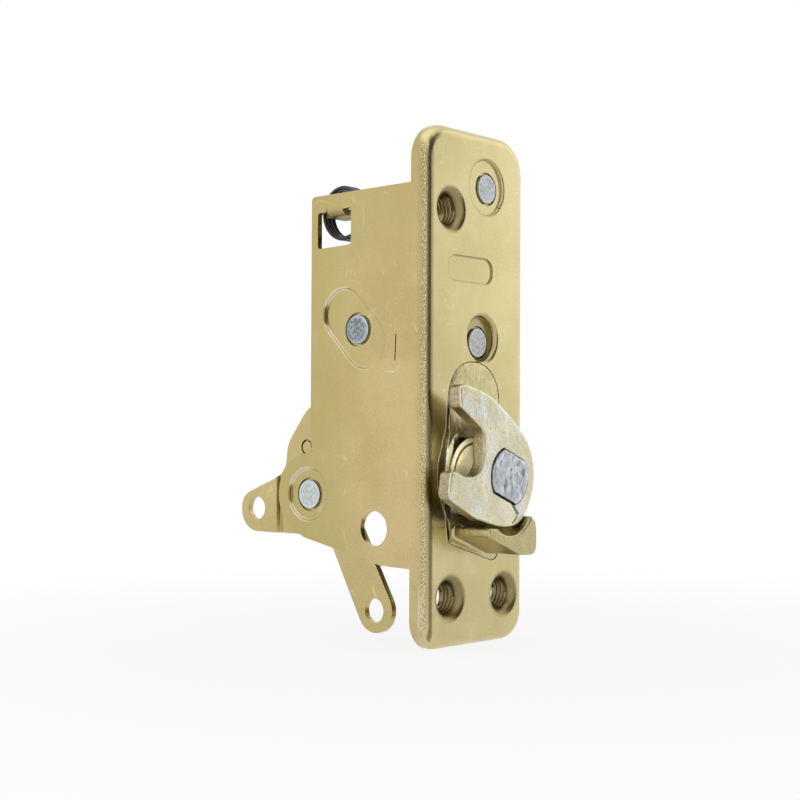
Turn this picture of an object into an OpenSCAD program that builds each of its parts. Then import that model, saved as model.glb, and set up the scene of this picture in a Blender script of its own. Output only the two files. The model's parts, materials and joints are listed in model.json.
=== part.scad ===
// Car door lock with a turning claw, for the rear edge of a door.
// X runs across the faceplate, Y runs into the door, Z is up, in millimetres.
// The origin is the middle of the faceplate's front face.

/* [Case] */
// Height of the faceplate
plate_h = 131.5; // [126:0.5:150]
// Width of the faceplate
plate_w = 42; // [40:0.5:48]
// Thickness of the case sheet
sheet_t = 1.6; // [1.2:0.1:1.8]
// Depth of the folded rim
rim_d = 4.5; // [3.5:0.1:7]
// Outside radius of the folds
fold_r = 3; // [2.2:0.1:3.4]
// Corner radius of the faceplate at its top
top_corner_r = 9.5; // [6:0.5:12]
// Corner radius of the faceplate at its bottom
bottom_corner_r = 7.5; // [5:0.5:10]
// How far the wing reaches behind the front face
wing_d = 38.5; // [37:0.5:42]
// Height of the wing's top edge above the middle
wing_top = 50.5; // [49:0.1:52]
// Depth of the wing's bottom edge below the middle, at the fold
wing_bottom = 45.6; // [44:0.1:48]
// Radius of the wing's round lobe
lobe_r = 10.8; // [10:0.1:11.5]
// Depth of the pressed recesses for the rivets
recess_d = 0.8; // [0.5:0.1:1]
// Radius of the free hole in the wing
wing_hole_r = 4.4; // [3:0.1:5]

/* [Fixing holes] */
// Wall radius of the threaded fixing holes
thread_r = 3.75; // [2.8:0.05:3.9]
// Radius of the dish at the faceplate
dish_r = 6.7; // [5.8:0.1:7]
// Outside radius of the threaded collar
collar_r = 5.3; // [4.9:0.1:5.6]
// Length of the collar behind the front face
collar_end = 6.8; // [6:0.1:8]

/* [Claw and rotor] */
// Place of the rotor's axis across the faceplate
rotor_x = 1; // [0.5:0.1:1.5]
// Depth of the rotor's axis below the middle
rotor_drop = 22.8; // [22.4:0.1:23.2]
// Distance from the faceplate to the claw's front
claw_front = 10; // [9.5:0.1:10.5]
// Thickness of the claw's plate
claw_t = 3.8; // [3.2:0.1:4.4]
// Bevel round the claw's edges
claw_bevel = 0.5; // [0.2:0.1:0.8]
// Radius of the hub behind the claw
hub_r = 8.2; // [8:0.1:8.4]
// Radius of the shaft's flatted end
shaft_r = 7.25; // [7:0.05:7.4]
// Distance between the shaft's flats
shaft_flats = 11.3; // [10:0.1:12]
// How far the shaft stands out of the claw
shaft_proud = 0.5; // [0.2:0.1:0.8]
// Radius of the shaft's journal in the bush
journal_r = 7.5; // [7.4:0.05:7.7]
// Radius of the shaft's rear journal
rear_journal_r = 4; // [3.5:0.1:4.5]

/* [Anvil] */
// Distance from the faceplate to the anvil's front
anvil_front = 11.6; // [11:0.1:13]
// Radius of the anvil's hollow under the claw
anvil_hollow_r = 9.6; // [9.3:0.1:9.9]
// Clearance round the casting in the faceplate's opening
casting_gap = 0.15; // [0.1:0.05:0.3]
// Thickness of the casting's flange behind the faceplate
flange_t = 2.6; // [2:0.1:3]

/* [Ratchet and pawl] */
// Radius of the ratchet
ratchet_r = 11.5; // [10.8:0.1:11.6]
// Depth of the ratchet's notches
notch_d = 2.4; // [1.5:0.1:3]
// Thickness of ratchet and pawl
ratchet_t = 3; // [2.4:0.1:3.2]
// Distance from the front face to the ratchet
ratchet_y = 8.5; // [8.4:0.1:9]
// Distance from the front face to the back plate
back_plate_y = 16; // [15.8:0.1:18]
// Thickness of the back plate
back_plate_t = 1.8; // [1.4:0.1:2.4]

/* [Levers] */
// Thickness of the lever plates
lever_t = 1.8; // [1.4:0.1:2.0]
// Inward step of the ear
ear_step = 1.2; // [0.6:0.1:1.6]
// Radius of the rod hole in the ear
ear_hole_r = 3.1; // [2.5:0.1:3.5]
// Radius of the rod hole in the lower lever
lower_hole_r = 3.1; // [2.5:0.1:3.5]
// Radius of the levers' pivots
pivot_r = 4; // [3.6:0.1:4.4]
// Radius of the visible rivet ends
rivet_r = 3.75; // [3.4:0.05:4]

/* [Springs] */
// Wire diameter of the return spring
return_wire = 1.4; // [1:0.1:1.5]
// Mean coil radius of the return spring
return_coil_r = 6.6; // [6.5:0.05:6.8]
// Wire diameter of the pawl's and the rotor's springs
inner_wire = 1.2; // [0.9:0.1:1.3]

/* [Clearances] */
// Radial running clearance of pivots and journals
run_gap = 0.05; // [0.02:0.01:0.09]
// Radial clearance of a seated pin or bush
seat_gap = 0.03; // [0.01:0.01:0.05]
// Side clearance between moving plates
side_gap = 0.2; // [0.1:0.05:0.3]
// Clearance between parts that push each other
touch_gap = 0.3; // [0.2:0.05:0.4]

/* [Hidden] */
$fn = 48;

gold = [0.80, 0.71, 0.46];
pale_gold = [0.80, 0.78, 0.68];
silver = [0.70, 0.74, 0.80];
steel = [0.62, 0.63, 0.62];
bronze = [0.68, 0.50, 0.28];
spring_black = [0.12, 0.13, 0.14];

// Planes across the faceplate, from the wing inwards
wing_x = -plate_w / 2;
wing_in = wing_x + sheet_t;
recess_in = wing_in + recess_d;
lever_x = recess_in + side_gap;
lower_x = lever_x + lever_t;

// Heights that follow the faceplate's ends
plate_top = plate_h / 2;
plate_bottom = -plate_h / 2;

// Rotor's axis, seen from the front as [X, Z]
rotor = [rotor_x, -rotor_drop];
claw_back_y = -claw_front + claw_t;
flange_back_y = sheet_t + flange_t;
bush_front_y = sheet_t;
bush_back_y = ratchet_y - side_gap;
hub_back_y = bush_front_y - side_gap;
bush_r = journal_r + 1.5;
rear_boss_r = bush_r + 1;
flats_turn = -21;
rear_d_r = journal_r - 1;
rear_d_flats = shaft_flats - 1.7;
ratchet_back_y = ratchet_y + ratchet_t;
waist_r = rear_journal_r + 0.7;
back_plate_back_y = back_plate_y + back_plate_t;
clip_t = 0.8;
clip_groove_r = rear_journal_r - 0.6;
shaft_back_y = back_plate_back_y + clip_t + 1;

// Pawl's pivot and upper rivet, seen from the front as [X, Z]
pawl_pivot = rotor + [1.8, 34.3];
upper_fix = [4.9, plate_top - 14.35];
deep_floor_y = 2;
deep_back_y = deep_floor_y + sheet_t;

// Levers' pivots and holes on the wing, as [Y, Z]
release_pivot = [22.6, pawl_pivot[1] + 3];
crank_pivot = [39.3, release_pivot[1] - 42.5];
ear_hole = crank_pivot + [20.55, -4.25];
lower_hole = crank_pivot + [-19.4, -29.2];
lever_key = crank_pivot + [3, 12.3];
wing_hole = [16.3, -36];

// Window, tab and return spring of the wing, as [Y, Z]
window_low = [24.6, wing_top - 14];
window_high = [36.2, wing_top - 4.45];
tab_mid_y = 30.45;
tab_root_w = 5.5;
tab_head_w = 10.4;
tab_bend_r = 0.8;
tab_under_z = window_high[1] - sheet_t;
tab_end_x = wing_x + 10;
spring_centre = [tab_mid_y + 0.3, tab_under_z + sheet_t / 2 + 0.2];

// Fixing holes, seen from the front as [X, Z]
fixing_holes = [
    [-10.5, plate_top - 21.3],
    [-10.3, plate_bottom + 12.55],
    [11.8, plate_bottom + 12.15]
];

// Stop pin of the ratchet, on a circle round the rotor
stop_r = 2.5;
stop_circle_r = ratchet_r + stop_r + touch_gap;
stop_turn = -60;
stop_at = rotor + stop_circle_r * [cos(stop_turn), sin(stop_turn)];
claw_travel = 75;

// Extrusions along X and Y of an outline drawn as [Y, Z] or [X, Z]
module along_x(x0, t) {
    translate([x0, 0, 0]) rotate([90, 0, 90]) linear_extrude(t) children();
}
module along_y(y0, t) {
    translate([0, y0 + t, 0]) rotate([90, 0, 0]) linear_extrude(t) children();
}
module rod_y(at, r, y0, y1) {
    along_y(y0, y1 - y0) translate(at) circle(r);
}
module rod_x(at, r, x0, x1) {
    along_x(x0, x1 - x0) translate(at) circle(r);
}
module ring_y(at, r_out, r_in, y0, y1) {
    along_y(y0, y1 - y0) translate(at) difference() {
        circle(r_out);
        circle(r_in);
    }
}
module ring_x(at, r_out, r_in, x0, x1) {
    along_x(x0, x1 - x0) translate(at) difference() {
        circle(r_out);
        circle(r_in);
    }
}
// Cone along Y with its wide end in front
module cone_y(at, r0, r1, y0, y1) {
    translate([at[0], y0, at[1]]) rotate([-90, 0, 0]) cylinder(h = y1 - y0, r1 = r0, r2 = r1);
}

// Corners with a radius: each vertex is [x, y, radius]
function flat(v) = [v[0], v[1]];
function unit(v) = v / norm(v);
function turn_of(a, b) = a[0] * b[1] - a[1] * b[0];
function corner(a, b, c) =
    let (
        r = b[2],
        u = unit(flat(a) - flat(b)),
        v = unit(flat(c) - flat(b)),
        half = acos(max(-1, min(1, u * v))) / 2,
        mid = flat(b) + unit(u + v) * r / sin(half),
        first = flat(b) + u * r / tan(half),
        start = atan2(first[1] - mid[1], first[0] - mid[0]),
        sweep = (180 - 2 * half) * (turn_of(u, v) < 0 ? 1 : -1),
        steps = max(2, ceil(abs(sweep) / 12))
    )
    [for (i = [0 : steps]) mid + r * [cos(start + sweep * i / steps), sin(start + sweep * i / steps)]];
function rounded(v) = [
    for (i = [0 : len(v) - 1])
        each (v[i][2] <= 0
            ? [flat(v[i])]
            : corner(v[(i + len(v) - 1) % len(v)], v[i], v[(i + 1) % len(v)]))
];
function shifted(v, by) = [for (p = v) [p[0] + by[0], p[1] + by[1], p[2]]];
function arc_vertices(r, a0, a1, steps) = [
    for (i = [0 : steps])
        let (a = a0 + (a1 - a0) * i / steps)
        [r * cos(a), r * sin(a), 0]
];
// The same vertices moved inwards by d, for outlines that run anticlockwise
function inset(v, d) = [
    for (i = [0 : len(v) - 1])
        let (
            a = flat(v[(i + len(v) - 1) % len(v)]),
            b = flat(v[i]),
            c = flat(v[(i + 1) % len(v)]),
            u = unit(b - a),
            w = unit(c - b),
            n1 = [-u[1], u[0]],
            n2 = [-w[1], w[0]],
            p = b + d * (n1 + n2) / (1 + n1 * n2),
            r = v[i][2] <= 0 ? 0 : v[i][2] + (turn_of(u, w) > 0 ? -d : d)
        )
        [p[0], p[1], r]
];

// A plate along Y whose front and back edges are bevelled
module bevelled_plate(v, y0, t, bevel) {
    full = rounded(v);
    small = rounded(inset(v, bevel));
    n = len(full);
    rings = [[small, y0], [full, y0 + bevel], [full, y0 + t - bevel], [small, y0 + t]];
    points = [for (ring = rings) for (p = ring[0]) [p[0], ring[1], p[1]]];
    sides = [
        for (k = [0 : 2]) for (i = [0 : n - 1])
            let (j = (i + 1) % n)
            [k * n + i, k * n + j, (k + 1) * n + j, (k + 1) * n + i]
    ];
    front = [for (i = [n - 1 : -1 : 0]) i];
    back = [for (i = [0 : n - 1]) 3 * n + i];
    polyhedron(points, concat(sides, [front, back]), convexity = 6);
}

// Round wire swept along a route of points
module wire(route, r, sides) {
    n = len(route);
    dirs = [
        for (i = [0 : n - 1])
            unit(route[min(i + 1, n - 1)] - route[max(i - 1, 0)])
    ];
    function frame_after(u, d) = unit(u - d * (u * d));
    function frames(i, u) = i == n ? [] : let (w = frame_after(u, dirs[i])) concat([w], frames(i + 1, w));
    seed = abs(dirs[0][2]) < 0.8 ? [0, 0, 1] : [1, 0, 0];
    ups = frames(0, seed);
    points = [
        for (i = [0 : n - 1]) for (k = [0 : sides - 1])
            let (a = 360 * k / sides)
            route[i] + r * (cos(a) * ups[i] + sin(a) * cross(dirs[i], ups[i]))
    ];
    skin = [
        for (i = [0 : n - 2]) for (k = [0 : sides - 1])
            let (m = (k + 1) % sides)
            [i * sides + k, (i + 1) * sides + k, (i + 1) * sides + m, i * sides + m]
    ];
    start = [for (k = [0 : sides - 1]) k];
    end = [for (k = [sides - 1 : -1 : 0]) (n - 1) * sides + k];
    polyhedron(points, concat(skin, [start, end]), convexity = 8);
}

// Half section through the pan: u runs outwards, v runs to the front, the fold's centre at [reach, 0]
module pan_section(reach, r, back) {
    translate([0, -back]) square([reach + r, back]);
    square([reach, r]);
    translate([reach, 0]) intersection() {
        circle(r);
        square(r);
    }
}
module pan_corner(x, z, reach, r, back, turn) {
    translate([x, fold_r, z]) rotate([0, -turn, 0]) rotate([90, 0, 0])
        rotate_extrude(angle = 90) pan_section(reach, r, back);
}
// The pan as a solid block, its skin set in by a distance from the outer one
module pan(in, y_back) {
    r = fold_r - in;
    back = y_back - fold_r;
    side_reach = plate_w / 2 - fold_r;
    top_reach = top_corner_r - fold_r;
    bottom_reach = bottom_corner_r - fold_r;
    z_high = plate_top - top_corner_r;
    z_low = plate_bottom + bottom_corner_r;
    x_top = plate_w / 2 - top_corner_r;
    x_bottom = plate_w / 2 - bottom_corner_r;
    translate([0, fold_r, z_low]) linear_extrude(z_high - z_low) mirror([0, 1]) {
        pan_section(side_reach, r, back);
        mirror([1, 0]) pan_section(side_reach, r, back);
    }
    along_x(-x_top, 2 * x_top) translate([fold_r, z_high]) rotate(90) pan_section(top_reach, r, back);
    along_x(-x_bottom, 2 * x_bottom) translate([fold_r, z_low]) mirror([0, 1]) rotate(90)
        pan_section(bottom_reach, r, back);
    pan_corner(x_top, z_high, top_reach, r, back, 0);
    pan_corner(-x_top, z_high, top_reach, r, back, 90);
    pan_corner(-x_bottom, z_low, bottom_reach, r, back, 180);
    pan_corner(x_bottom, z_low, bottom_reach, r, back, 270);
}

// The casting's opening in the faceplate, round the rotor, as [X, Z]
casting_outline = shifted([
    [-12.0, 29.2, 9.5], [8.8, 29.2, 9.8], [8.8, -22.9, 3], [-12.4, -16.6, 2],
    [-13.3, -9.5, 5], [-16.3, -3.5, 5], [-16.2, 3.4, 5], [-13.1, 12.2, 5]
], rotor);
function anticlockwise(v) = [for (i = [len(v) - 1 : -1 : 0]) v[i]];
casting_shape = anticlockwise(casting_outline);

// Outline of the wing behind the fold, as [Y, Z]
wing_shape = concat(
    [[fold_r, -wing_bottom, 0], [14, -wing_bottom + 0.4, 6], [crank_pivot[0] + 1.4, crank_pivot[1] - 11.3, 4]],
    shifted(arc_vertices(lobe_r, -70, 78, 14), crank_pivot),
    [
        [wing_d + 0.7, crank_pivot[1] + 10.9, 0.4], [wing_d - 0.6, crank_pivot[1] + 12.4, 0.5],
        [wing_d, crank_pivot[1] + 13.8, 0.5], [wing_d, wing_top - 0.6, 1.2], [fold_r, wing_top, 0]
    ]
);

// Pressed recess in the wing between two round ends
module wing_recess(a, b, r, x0, t) {
    along = unit(b - a) * norm(b - a);
    across = unit([-along[1], along[0]]) * r;
    along_x(x0, t) union() {
        translate(a) circle(r);
        translate(b) circle(r);
        polygon([a + across, a - across, b - across, b + across]);
    }
}
release_recess_a = release_pivot + [4.4, 4.1];
release_recess_b = release_pivot + [-2.8, -3.3];
release_recess_r = 6.7;
crank_recess_r = 6.8;

// Seat of a rivet in a wall of the wing: a wide mouth for the end, a close hole for the neck
neck_r = 3;
mouth_r = rivet_r + 0.6;
mouth_d = 0.8;
rivet_proud = 0.35;

// Round recess of radius r and depth d whose mouth is curved with radius rim
rim_share = 0.98;
module soft_recess(at, r, rim, d) {
    rod_y(at, r, -1, d);
    difference() {
        rod_y(at, r + rim, -1, rim_share * rim);
        translate([at[0], rim_share * rim, at[1]]) rotate([90, 0, 0])
            rotate_extrude() translate([r + rim_share * rim, 0]) circle(rim);
    }
}

// Pressed dish with a threaded collar: the faceplate curves into the bore
module dish_form(at) {
    cone_y(at, dish_r + 0.3, collar_r, sheet_t - 0.1, sheet_t + 1.9);
    rod_y(at, collar_r, sheet_t, collar_end);
}
module dish_cut(at) {
    soft_recess(at, thread_r, dish_r - thread_r, collar_end + 1);
}

// Deep recess with a curved mouth round the pawl's pin, a little above the pin
deep_at = pawl_pivot + [-0.2, 1];
deep_r = 5.6;
deep_rim = 1.5;
module deep_form() {
    cone_y(deep_at, deep_r + deep_rim + 1, deep_r + sheet_t, sheet_t - 0.1, deep_back_y);
}

// Shallow recess of the upper rivet, a little beside the rivet
upper_recess_at = upper_fix + [-0.6, 0.3];
upper_recess_r = 7;
upper_rim = 0.7;
stamp_low = [-11.5, plate_top - 39.15];
stamp_high = [6.8, plate_top - 32.65];
stamp_d = 0.45;

// Narrow pressed line in the wing, beside the fold
line_top = [9.1, 12.8];
line_length = 6.6;
module pressed_line() {
    translate([wing_x - 1, line_top[0], line_top[1]]) rotate([2.5, 0, 0]) translate([0, -0.2, -line_length])
        cube([1.5, 0.4, line_length]);
}

module case_sheet() {
    difference() {
        union() {
            difference() {
                pan(0, rim_d);
                pan(sheet_t, rim_d + 1);
            }
            along_x(wing_x, sheet_t) polygon(rounded(wing_shape));
            for (at = fixing_holes) dish_form(at);
            deep_form();
            rod_y(upper_recess_at, upper_recess_r + sheet_t, sheet_t - 0.1, sheet_t + recess_d);
            wing_recess(release_recess_a, release_recess_b, release_recess_r + 0.9, wing_in - 0.1, recess_d + 0.1);
            rod_x(crank_pivot, crank_recess_r + 0.9, wing_in - 0.1, recess_in);
        }
        for (at = fixing_holes) dish_cut(at);
        soft_recess(deep_at, deep_r, deep_rim, deep_floor_y);
        soft_recess(upper_recess_at, upper_recess_r, upper_rim, recess_d);
        pressed_line();
        along_y(-1, sheet_t + 2) polygon(rounded(casting_shape));
        along_y(-1, 1 + stamp_d) polygon(rounded([
            [stamp_low[0], stamp_low[1], 3], [stamp_high[0], stamp_low[1], 3],
            [stamp_high[0], stamp_high[1], 3], [stamp_low[0], stamp_high[1], 3]
        ]));
        wing_recess(release_recess_a, release_recess_b, release_recess_r, wing_x - 1, 1 + recess_d);
        rod_x(crank_pivot, crank_recess_r, wing_x - 1, wing_x + recess_d);
        rivet_seat_x(release_pivot);
        rivet_seat_x(crank_pivot);
        rivet_seat_y(upper_fix, recess_d);
        rivet_seat_y(pawl_pivot, deep_floor_y);
        rod_x(wing_hole, wing_hole_r, wing_x - 1, wing_in + 1);
        along_x(wing_x - 1, sheet_t + 2) polygon(rounded([
            [window_low[0], window_low[1], 0.8], [window_high[0], window_low[1] - 0.4, 0.8],
            [window_high[0], window_high[1] - 0.6, 0.8], [window_low[0], window_high[1], 0.8]
        ]));
        along_x(wing_x - 1, sheet_t + 2) translate([tab_mid_y - tab_root_w / 2, window_high[1] - 1])
            square([tab_root_w, 1 + tab_bend_r]);
    }
}
module rivet_seat_x(at) {
    rod_x(at, mouth_r, wing_x - 1, wing_x + recess_d + mouth_d);
    rod_x(at, neck_r + seat_gap, wing_x, recess_in + 1);
}
module rivet_seat_y(at, floor_y) {
    rod_y(at, mouth_r, -1, floor_y + mouth_d);
    rod_y(at, neck_r + seat_gap, 0, floor_y + sheet_t + 1);
}
// Tongue bent inwards from the window's top edge, with a wider head that carries the spring
module spring_tab() {
    bend_x = wing_x + sheet_t + tab_bend_r;
    bend_z = tab_under_z + sheet_t + tab_bend_r;
    translate([0, tab_mid_y + tab_root_w / 2, 0]) rotate([90, 0, 0]) linear_extrude(tab_root_w)
        translate([bend_x, bend_z]) intersection() {
            difference() {
                circle(tab_bend_r + sheet_t);
                circle(tab_bend_r);
            }
            translate([-10, -10]) square(10);
        }
    translate([bend_x, tab_mid_y - tab_root_w / 2, tab_under_z]) cube([1, tab_root_w, sheet_t]);
    translate([bend_x + 0.4, tab_mid_y - tab_head_w / 2, tab_under_z])
        cube([tab_end_x - bend_x - 0.4, tab_head_w, sheet_t]);
}
module case() {
    color(gold) union() {
        case_sheet();
        spring_tab();
    }
}

// Casting in the faceplate's opening: plate, flange, rear boss and anvil
anvil_shape = shifted([
    [-10.5, -14.7, 0.8], [-10.5, -12.5, 0.8], [-6.0, -12.8, 0], [-3, -11, 0], [6.3, -9.1, 0],
    [7.7, -10.4, 0.6], [9.0, -11.2, 1.6], [9.6, -13.2, 1.6], [9.6, -20.1, 2.4], [3.0, -19.8, 2]
], rotor);
anvil_hollow = rotor + [-1.1, -5.1];
window_shape = shifted([
    [-9.7, 10, 0.8], [-11.2, 1.8, 6], [-11.9, -5, 4], [-10.5, -10.2, 2], [-1, -10.2, 0], [-1, 10, 0]
], rotor);
channel_shape = shifted([
    [-11.5, 17.8, 0.5], [-20, 17.8, 0], [-20, -16.2, 0], [-11.5, -16.2, 0.5], [-11.7, -11, 3],
    [-13.8, -9.5, 2], [-13.7, -3, 5], [-13.1, 1.8, 6], [-11.9, 10, 6]
], rotor);
channel_d = 2.8;
hub_hole_r = hub_r + 0.4;
anvil_root = 1;
module anvil_face() {
    difference() {
        polygon(rounded(anvil_shape));
        translate(anvil_hollow) circle(anvil_hollow_r);
    }
}
module anvil_housing() {
    color(gold) difference() {
        union() {
            along_y(0, sheet_t) polygon(rounded(inset(casting_shape, casting_gap)));
            along_y(sheet_t, flange_t) difference() {
                polygon(rounded(inset(casting_shape, -2.4)));
                translate([rotor[0] - 18, rotor[1] + 24.6]) square([40, 20]);
            }
            rod_y(rotor, rear_boss_r, flange_back_y - 0.1, bush_back_y);
            along_y(-anvil_front, anvil_front - casting_gap) anvil_face();
            along_y(-casting_gap - 0.1, casting_gap + anvil_root) intersection() {
                anvil_face();
                polygon(rounded(inset(casting_shape, casting_gap)));
            }
        }
        rod_y(rotor, bush_r + seat_gap, bush_front_y, bush_back_y + 1);
        rod_y(rotor, hub_hole_r, -1, bush_front_y + 0.1);
        along_y(-1, flange_back_y + 2) difference() {
            polygon(rounded(window_shape));
            translate(rotor) circle(rear_boss_r);
        }
        along_y(-1, 2.1) difference() {
            polygon(rounded(window_shape));
            translate(rotor) circle(hub_r);
        }
        along_y(-1, 1 + channel_d) intersection() {
            polygon(rounded(channel_shape));
            polygon(rounded(inset(casting_shape, -0.3)));
        }
        rod_y(stop_at, stop_r - 0.5 + seat_gap, bush_front_y, flange_back_y + 1);
    }
}

// Claw: forged plate with the throat, and a hub behind it
claw_shape = concat(
    shifted([
        [-20.4, 22.3, 1.6], [-20.0, 17.4, 1.4], [-10.3, 11.3, 4], [-10.5, 0.1, 5.2], [-17.8, 0.2, 1.6],
        [-23.6, 2.2, 1.6], [-24.7, -4.8, 2.4], [-12.5, -10.6, 28], [-6.2, -12.2, 36]
    ], rotor),
    shifted([[-0.6, -13.05, 14], [4.05, -12.35, 8], [7.35, -9.8, 8]], rotor),
    shifted([[11.3, -2.4, 13], [10.3, 7.75, 14], [1.3, 15, 50], [-7.6, 20.75, 26], [-17.8, 22.95, 3]], rotor)
);
module flatted(r, flats) {
    rotate(flats_turn) intersection() {
        circle(r);
        square([3 * r, flats], center = true);
    }
}
claw_hole_gap = 0.35;
module claw() {
    color(pale_gold) difference() {
        union() {
            bevelled_plate(claw_shape, -claw_front, claw_t, claw_bevel);
            rod_y(rotor, hub_r, claw_back_y - 0.1, hub_back_y);
        }
        along_y(-claw_front - 1, claw_front + hub_back_y + 2) translate(rotor)
            flatted(shaft_r + claw_hole_gap, shaft_flats + 2 * claw_hole_gap);
    }
}

// Shaft with flats for the claw and the ratchet
module rotor_shaft() {
    color(silver) difference() {
        union() {
            along_y(-claw_front - shaft_proud, claw_front + shaft_proud + hub_back_y + 0.1)
                translate(rotor) flatted(shaft_r, shaft_flats);
            rod_y(rotor, journal_r, hub_back_y + 0.1, bush_back_y);
            along_y(bush_back_y - 0.1, ratchet_back_y - bush_back_y + 0.1)
                translate(rotor) flatted(rear_d_r, rear_d_flats);
            rod_y(rotor, waist_r, ratchet_back_y - 0.1, back_plate_y - side_gap);
            rod_y(rotor, rear_journal_r, back_plate_y - side_gap - 0.1, shaft_back_y);
        }
        ring_y(rotor, rear_journal_r + 1, clip_groove_r, back_plate_back_y + side_gap,
            back_plate_back_y + side_gap + clip_t);
    }
}
module rotor_bush() {
    color(bronze) ring_y(rotor, bush_r, journal_r + run_gap, bush_front_y, bush_back_y);
}

// Ratchet: two notches for the half and the full catch, and two lugs for the stop
half_catch = 45;
hook_turn = 160;
lug_r = ratchet_r + 4;
module lug(a0, a1) {
    polygon(concat([[0, 0]], [
        for (i = [0 : 6])
            let (a = a0 + (a1 - a0) * i / 6)
            lug_r * [cos(a), sin(a)]
    ]));
}
module notch(a) {
    rotate(a) polygon([
        [ratchet_r - notch_d, 0], [ratchet_r + 1, -0.6],
        [(ratchet_r + 1) * cos(24), (ratchet_r + 1) * sin(24)], [(ratchet_r - notch_d) * cos(8), (ratchet_r - notch_d) * sin(8)]
    ]);
}
stop_half_turn = asin((stop_r + touch_gap) / stop_circle_r);
module ratchet() {
    color(gold) along_y(ratchet_y, ratchet_t) translate(rotor) difference() {
        union() {
            circle(ratchet_r);
            lug(stop_turn + stop_half_turn + claw_travel, stop_turn + stop_half_turn + claw_travel + 24);
            lug(stop_turn - stop_half_turn - 14, stop_turn - stop_half_turn);
        }
        notch(hook_turn + half_catch);
        notch(hook_turn + claw_travel);
        flatted(rear_d_r + seat_gap, rear_d_flats + 2 * seat_gap);
    }
}
module claw_stop() {
    color(steel) union() {
        rod_y(stop_at, stop_r - 0.5, bush_front_y + 0.4, flange_back_y);
        rod_y(stop_at, stop_r, flange_back_y, back_plate_y);
        rod_y(stop_at, stop_r - 0.5, back_plate_y, back_plate_back_y);
        cone_y(stop_at, stop_r + 0.6, stop_r - 0.4, back_plate_back_y, back_plate_back_y + 0.9);
    }
}
// Coil between ratchet and back plate, both ends bent in beside the coil
rotor_coil_r = waist_r + run_gap + inner_wire / 2 + 0.2;
rotor_coil_y = ratchet_back_y + inner_wire / 2 + 0.1;
rotor_coil_turns = 2;
function rotor_coil(i, n) =
    let (a = 360 * rotor_coil_turns * i / n, y = rotor_coil_y + 1.32 * inner_wire * rotor_coil_turns * i / n)
    [rotor[0] + rotor_coil_r * cos(a), y, rotor[1] + rotor_coil_r * sin(a)];
module rotor_spring() {
    n = 14 * rotor_coil_turns;
    first = rotor_coil(0, n);
    last = rotor_coil(n, n);
    color(spring_black) wire(concat(
        [first + [0.4, 0, -3.2]],
        [for (i = [0 : n]) rotor_coil(i, n)],
        [last + [0.4, 0, 3.2]]
    ), inner_wire / 2, 8);
}
module rotor_clip() {
    color(steel) along_y(back_plate_back_y + side_gap, clip_t) translate(rotor) difference() {
        circle(rear_journal_r + 2.2);
        circle(clip_groove_r + seat_gap);
        rotate(-35) square([clip_groove_r * 2, 20]);
    }
}

// Pawl: tail towards the wing, hook beside the ratchet, as [X, Z] round its pivot
tail_z = 1.5;
pawl_shape = shifted([
    [-20.9, tail_z + 4, 1.2], [-20.9, tail_z, 0.8], [-14.6, tail_z, 2.5], [-17.0, -19.5, 5],
    [-17.0, -34.7, 1.8], [-14.1, -34.3, 1], [-13.0, -30.4, 0.5], [-14.7, -27, 1.5], [-12.4, -17.5, 5],
    [-5.2, -8.4, 4], [7.8, -7.4, 6.5], [7.6, 7.6, 6.5], [-9, 7.4, 5]
], pawl_pivot);
module pawl() {
    color(gold) difference() {
        along_y(ratchet_y, ratchet_t) polygon(rounded(pawl_shape));
        rod_y(pawl_pivot, pivot_r + run_gap, ratchet_y - 1, ratchet_back_y + 1);
    }
}
module pin_y(at, floor_y, body_y, body_r) {
    rod_y(at, rivet_r, floor_y - rivet_proud, floor_y + mouth_d - 0.02);
    rod_y(at, neck_r, floor_y, body_y + 0.1);
    rod_y(at, body_r, body_y, back_plate_y);
    rod_y(at, neck_r, back_plate_y - 0.1, back_plate_back_y);
    cone_y(at, neck_r + 1.4, neck_r, back_plate_back_y, back_plate_back_y + 1.2);
}
module pawl_pin() {
    color(silver) pin_y(pawl_pivot, deep_floor_y, deep_back_y, pivot_r);
}
module pawl_sleeve() {
    color(steel) ring_y(pawl_pivot, pivot_r + 1.4, pivot_r + seat_gap, deep_back_y, ratchet_y - side_gap);
}
module back_sleeve() {
    color(steel) ring_y(pawl_pivot, pivot_r + 1, pivot_r + seat_gap, ratchet_back_y + side_gap, back_plate_y);
}
pawl_coil_r = pivot_r + 1 + inner_wire / 2 + 0.25;
pawl_coil_y = ratchet_back_y + inner_wire / 2 + 0.15;
pawl_coil_turns = 2.4;
pawl_coil_start = 200;
function pawl_coil(i, n) =
    let (a = pawl_coil_start + 360 * pawl_coil_turns * i / n, y = pawl_coil_y + 1.1 * inner_wire * pawl_coil_turns * i / n)
    [pawl_pivot[0] + pawl_coil_r * cos(a), y, pawl_pivot[1] + pawl_coil_r * sin(a)];
module pawl_spring() {
    n = 34;
    first = pawl_coil(0, n);
    last = pawl_coil(n, n);
    edge_x = pawl_pivot[0] - 17.0 - inner_wire / 2 - 0.1;
    low_z = pawl_pivot[1] - 22;
    color(spring_black) wire(concat(
        [
            [edge_x, ratchet_y + 0.8, low_z], [edge_x, pawl_coil_y - 0.3, low_z], [edge_x + 0.4, pawl_coil_y, low_z + 1.4],
            [pawl_pivot[0] - pawl_coil_r * 1.05, pawl_coil_y, pawl_pivot[1] + 0.4]
        ],
        [for (i = [1 : n]) pawl_coil(i, n)],
        [last + [5.5, 0, 1.5]]
    ), inner_wire / 2, 8);
}

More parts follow.
